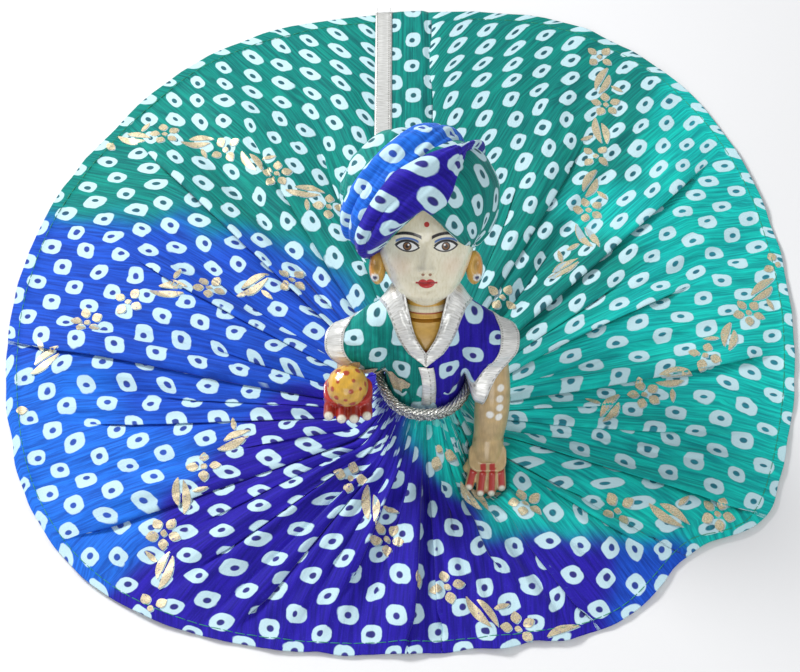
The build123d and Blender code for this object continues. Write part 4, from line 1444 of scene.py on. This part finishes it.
def neck():
    """The painted neck with soft creases and red-brown lines."""
    length, count = 15.0, 64
    h = np.linspace(0.35, length, 44)
    radius = 10.0 - 0.5 * smooth(0, 8, h) + 0.45 * np.cos(h * 2 * pi / 3.6)
    colour = np.where(((h + 0.6) % 5.4 < 2.6)[:, None], np.array(OCHRE) * 1.1, np.array(IVORY) * 0.95)
    line = (np.abs((h % 5.4) - 2.2) < 0.45)[:, None]
    colour = np.where(line, np.array((0.36, 0.05, 0.02)), colour)
    around = np.linspace(0, 2 * pi, count, endpoint=False)
    across = np.array([1.0, 0, 0])
    ring = np.cos(around)[:, None] * across + np.sin(around)[:, None] * np.cross(NECK_WAY, across)
    points = NECK_FOOT + h[:, None, None] * NECK_WAY + radius[:, None, None] * ring
    colours = np.repeat(colour[:, None], count, 1)
    faces = grid_faces(len(h), count, wrap=True).tolist()
    faces += [list(range(count))[::-1], [(len(h) - 1) * count + j for j in range(count)]]
    throat = make("neck_painted", points, faces, BODY_PAINT, colour=colours)
    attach(throat, "head")


head()
ears()
neck()


# ---------------------------------------------------------------- turban
# in the head's frame; each wrap's edge is a plane, by the way it faces and its distance
TURBAN_CENTRE = np.array([-2.6, 5.0, 17.0])
TURBAN_SIZE = np.array([30.4, 30.4, 26.2])
WRAP_EDGES = [((-0.56, 0.20, 0.80), 6.5), ((-0.74, 0.32, 0.59), 18.0), ((-0.74, 0.32, 0.59), 29.0)]
BROW_FRONT, BROW_SLOPE, BROW_TILT = 16.5, tan(radians(35)), tan(radians(14))
SKULL_MIDDLE = (0.0, 3.0)  # what the tucked-in cloth turns towards
WRAP_COLUMNS = 200
PRINT_RADIUS = 30.0  # turns the way round the turban into a length along the cloth


def brow_height(x, y):
    """The turban's lower edge over the brow, in the head's frame."""
    x = x + 1.6
    return BROW_FRONT - 1.3 - np.sqrt(x * x + 1.0) * BROW_SLOPE + BROW_SLOPE - (y + 19.0) * BROW_TILT


def wound(low, high, s, around, taper):
    """Unit vectors from the turban's centre, as if it were a ball, and the two axes they turn on."""
    narrow = taper * np.clip((around / pi - 0.66) / 0.28, 0, 1) * smooth(1.5 * pi, 1.15 * pi, around)
    wide = (s * (1 - narrow) + narrow * 0.6)[..., None]
    normals = unit(np.array(low[0]) * (1 - wide) + np.array(high[0]) * wide)
    distance = low[1] + (high[1] - low[1]) * wide[..., 0]
    scaled = normals * TURBAN_SIZE
    length = np.linalg.norm(scaled, axis=-1)
    middle = scaled / length[..., None]
    h = np.clip((distance - normals @ TURBAN_CENTRE) / length, -0.995, 0.99999)[..., None]
    first = unit(np.cross(middle, [0.0, 1.0, 0.35]))
    second = np.cross(middle, first)
    ring = np.cos(around)[:, None] * first + np.sin(around)[:, None] * second
    return h * middle + np.sqrt(1 - h * h) * ring, first, second


def creases(s, around, rows, seed):
    """Soft creases all over a wound band, and sharper ones where its layers lie over each other."""
    one, other = np.sin(around) * 1.2, np.cos(around) * 1.2
    crease = 0.55 * wobble(s * 8.0 + other, one, 50.0 + seed)
    crease = crease + 1.2 * wobble(s * 3.2 - one, other * 1.5, 60.0 + seed)
    layer = (s * rows / 17 + 0.35 * np.sin(1.5 * around + seed) + 0.2 * one) % 1.0
    shown = smooth(-0.5, 0.5, other + 0.4 * np.sin(5 * around))
    return crease - 0.95 * np.exp(-(((layer - 0.5) / 0.10) ** 2)) * shown


def tuck_under(x, y, z):
    """Turns the cloth below the brow line in towards the head; and how far below the line it was."""
    below = brow_height(x, y) - z
    depth = np.clip(below + 1.0, 0, None)
    inward = 2.9 * (1 - np.exp(-depth / 2.2))
    dx, dy = x - SKULL_MIDDLE[0], y - SKULL_MIDDLE[1]
    share = 1 - inward / np.maximum(np.hypot(dx, dy), 1)
    tucked = z + np.clip(below, 0, None) - (1 - np.exp(-depth / 1.5))
    z = np.where(depth > 0, tucked, z)
    return SKULL_MIDDLE[0] + dx * share, SKULL_MIDDLE[1] + dy * share, z, below


def wrap(name, node, low, high, material, slot, edges, puff, flat, taper=0.0, rows=40):
    """A band of cloth wound between two slanting planes over the turban's form.

    edges are how high its low and high edges lie, and puff what its middle adds; taper narrows it to a tip.
    """
    s = np.linspace(0, 1, rows)[:, None]
    around = np.linspace(0, 2 * pi, WRAP_COLUMNS, endpoint=False)
    way, first, second = wound(low, high, s, around, taper)
    rim = 1 - np.abs(2 * s - 1) ** 4
    out = edges[0] + (edges[1] - edges[0]) * s + (puff + creases(s, around, rows, puff)) * rim
    point = TURBAN_CENTRE + way * (TURBAN_SIZE + out[..., None])
    x, y, z, below = tuck_under(point[..., 0], point[..., 1], point[..., 2])
    run = np.cumsum(np.linalg.norm(np.diff(point, axis=0), axis=-1).mean(1))
    v = np.concatenate([[0], run])[:, None] + 5.0
    uv = np.stack(np.broadcast_arrays(around * PRINT_RADIUS, v), -1)
    if node == "turban_crown":
        uv = PRINT_RADIUS * np.stack([(way * first).sum(-1), (way * second).sum(-1)], -1)
    faces = grid_faces(rows, WRAP_COLUMNS, wrap=True)
    hidden = (below > 4.0).ravel()
    faces = faces[~hidden[faces].all(1)]
    obj = make(name, from_head(x, y, z), faces[:, ::-1], material, uv)
    weld(obj)
    thicken(obj, 0.6)
    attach(obj, "turban")
    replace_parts(obj, node)


def turban():
    """Four wraps of cloth, from the one under the rest to the navy one over the brow."""
    e0, e1, e2 = WRAP_EDGES
    wrap("wrap_teal", "turban_wrap_teal", (e0[0], -22.0), (e1[0], 19.5), TURBAN_TEAL, "teal_print",
         (-1.2, -1.0), 0.7, rows=60, flat=(0.11, 0.042))
    wrap("wrap_crown", "turban_crown", (e2[0], e2[1] - 3.0), (e2[0], 43.2), TURBAN_TEAL, "teal_print",
         (-1.6, 0.0), 0.6, rows=34, flat=(0.085, 0.038))
    wrap("wrap_blue", "turban_wrap_blue", (e1[0], e1[1] - 4.0), (e2[0], e2[1] + 0.8), BLUE_PRINT,
         "blue_print", (-1.6, 0.7), 1.9, flat=(0.15, 0.027))
    wrap("wrap_navy", "turban_wrap_navy", (e0[0], e0[1] - 1.0), (e1[0], e1[1] + 0.4), TURBAN_NAVY,
         "navy_print", (-0.2, 1.9), 1.9, taper=0.93, flat=(0.17, 0.0235))


turban()


# ---------------------------------------------------------------- arms, hands, sweet
def softened(name, node):
    """A softened copy of a CAD part's surface, as a new object with no material yet."""
    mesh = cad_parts[node].data.copy()
    mesh.name = name
    mesh.materials.clear()
    obj = bpy.data.objects.new(name, mesh)
    bpy.context.scene.collection.objects.link(obj)
    voxels = obj.modifiers.new("voxels", "REMESH")
    voxels.mode = "VOXEL"
    voxels.voxel_size = 0.45 * MM
    voxels.use_smooth_shade = True
    soft = obj.modifiers.new("soften", "SMOOTH")
    soft.factor = 0.5
    soft.iterations = 7
    return settle(obj)


def near(points, spot, radius):
    """1 for points within radius of a spot, with a soft edge."""
    return smooth(radius + 0.35, radius - 0.35, np.linalg.norm(points - np.array(spot), axis=1))


# each finger from its knuckle to its tip
LEFT_FINGERS = [((28.6, -87.6, 8.0), (26.8, -94.0, 3.9)), ((32.2, -88.6, 8.2), (31.2, -96.6, 3.6)),
                ((35.9, -88.6, 8.2), (35.6, -96.6, 3.6)), ((39.4, -87.6, 8.0), (39.8, -94.4, 3.9))]
RIGHT_FINGERS = [((-28.4, -76.0, 39.4), (-28.6, -80.8, 38.6)), ((-23.6, -76.2, 39.4), (-23.6, -82.0, 38.4)),
                 ((-18.8, -76.2, 39.4), (-18.8, -82.0, 38.4)), ((-14.0, -76.0, 39.4), (-13.8, -80.8, 38.6))]


def from_line(points, a, b):
    """Each point's distance from the line from a to b, and how far along it is."""
    a, b = np.array(a), np.array(b)
    t = np.clip((points - a) @ (b - a) / ((b - a) @ (b - a)), 0, 1)
    return np.linalg.norm(points - (a + t[:, None] * (b - a)), axis=1), t


def planted_hand(points, colours, fingers):
    """White spots up the arm, a dark line round the wrist, red along each finger and back from its knuckle,
    and painted shade in dark red low on the hand.
    """
    spots = (
        (38.4, -69.6, 40.2), (38.1, -72.6, 36.9), (38.2, -75.0, 34.0), (34.3, -76.9, 31.8),
        (37.9, -77.2, 30.6),
    )
    for spot in spots:
        colours = blend_in(colours, near(points, spot, 1.5), WHITE)
    wrist, _ = from_line(points, (26, -80.3, 17.8), (42, -80.3, 17.8))
    colours = blend_in(colours, smooth(1.1, 0.6, wrist) * 0.7, (0.26, 0.16, 0.06))
    for knuckle, tip in fingers:
        off, t = from_line(points, knuckle, tip)
        middle = knuckle[0] + t * (tip[0] - knuckle[0])
        stripe = smooth(1.45, 1.1, np.abs(points[:, 0] - middle)) * (off < 3.4)
        off, _ = from_line(points + (0, 0, -0.6), np.array(knuckle) + (0, 5.5, 2.2), knuckle)
        behind = smooth(1.45, 1.1, np.abs(points[:, 0] - knuckle[0])) * (off < 3.2)
        colours = blend_in(colours, np.maximum(stripe, behind), RED)
    # painted shade: the hand is dark red where it comes down near the cloth
    under = smooth(5.4, 3.6, points[:, 2]) * smooth(-84, -87, points[:, 1])
    return blend_in(colours, under * 0.8, (0.20, 0.015, 0.01))


def holding_hand(points, colours, fingers):
    """A red hand with darker fingers."""
    colours = blend_in(colours, smooth(-65.5, -67.5, points[:, 1]), RED)
    for knuckle, tip in fingers:
        off, _ = from_line(points, knuckle, tip)
        colours = blend_in(colours, smooth(2.7, 2.0, off) * 0.75, (0.22, 0.012, 0.01))
    return colours


def arm(name, fingers, hand, nail_size):
    """A softened and painted arm with its hand."""
    obj = softened(f"{name}_painted", name)
    points = np.array([v.co for v in obj.data.vertices]) / MM
    shade = 0.5 + 0.5 * wobble(points[:, 0] * 0.25, points[:, 1] * 0.25 + points[:, 2] * 0.2, 3.0)
    colours = np.array(SKIN_WOOD) * (0.82 + 0.3 * shade)[:, None]
    colours = hand(points, colours, fingers)
    for knuckle, tip in fingers:
        nail = tip + unit(np.subtract(tip, knuckle)) * 0.7 + np.array((0, -0.4, 1.1))
        colours = blend_in(colours, near(points, nail, nail_size), (0.80, 0.78, 0.68))
    paint_points(obj.data, colours)
    obj.data.materials.clear()
    obj.data.materials.append(BODY_PAINT)
    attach(obj, name)
    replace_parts(obj, name)


arm("left_arm", LEFT_FINGERS, planted_hand, 1.35)
arm("right_arm", RIGHT_FINGERS, holding_hand, 1.75)


def sweet():
    """The ball-shaped sweet, a little uneven, with red-brown spots."""
    a = np.linspace(0, pi, 60)[:, None]
    b = np.linspace(0, 2 * pi, 96, endpoint=False)[None, :]
    way = np.stack([np.sin(a) * np.cos(b), np.sin(a) * np.sin(b), np.cos(a) + 0 * b], -1)
    spots = unit(rng.normal(size=(420, 3)))
    chosen = []
    for spot in spots:
        if all(np.dot(spot, other) < cos(radians(25)) for other in chosen):
            chosen.append(spot)
    colour = np.tile(np.array((0.80, 0.46, 0.045)), way.shape[:2] + (1,))
    patchy = wobble(way[..., 0] * 2.5, way[..., 1] * 2.5 + way[..., 2] * 2, 4.0)
    colour = colour * (0.86 + 0.16 * patchy)[..., None]
    bump = 0.10 * wobble(way[..., 0] * 4, way[..., 2] * 4 + way[..., 1] * 3, 2.0)
    for k, spot in enumerate(chosen):
        size = radians(5.6 + 1.8 * (k % 3))
        apart = np.arccos(np.clip(way @ spot, -1, 1))
        mask = smooth(size + radians(1.3), size - radians(1.3), apart)
        colour = blend_in(colour, mask, (0.40, 0.05, 0.012))
        bump = bump + 0.12 * mask
    points = BALL + way * (BALL_RADIUS - 0.05 + bump)[..., None]
    ball = make("sweet_painted", points, grid_faces(60, 96, wrap=True)[:, ::-1], BODY_PAINT, colour=colour)
    weld(ball)
    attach(ball, "right_arm")
    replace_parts(ball, "sweet_ball")


sweet()


# ---------------------------------------------------------------- carried-over CAD parts
def chest_paint():
    """Ochre chest paint with a red line across the chest."""
    s = Shader("chest_paint", Coat_Weight=0.6, Coat_Roughness=0.12)
    x, y, z = s.place()
    up = (y - SHOULDER_Y) * 0.42 + (z - SHOULDER_Z) * 0.91
    brush = s.grain(s.vector(x * 0.5, y, z), 0.8, 3.0)
    shown = s.mix(brush, (0.50, 0.27, 0.035), (0.74, 0.45, 0.09))
    line = s.step(0.75, 0.45, abs(up - 2.4))
    shown = s.mix(line, shown, (0.42, 0.05, 0.015))
    return s.finish(shown, brush, 0.25 + brush * 0.15, 0.25, 0.0002)


LEG_PAINT = painted("leg_paint", SKIN_WOOD)
CARRIED = {
    "torso": chest_paint(), "left_leg": LEG_PAINT, "right_leg": LEG_PAINT, "neck_dowel": WOOD,
    "left_shoulder_peg": WOOD, "right_shoulder_peg": WOOD, "turban_core": PADDING,
}
for part, look in CARRIED.items():
    dress(part, look)
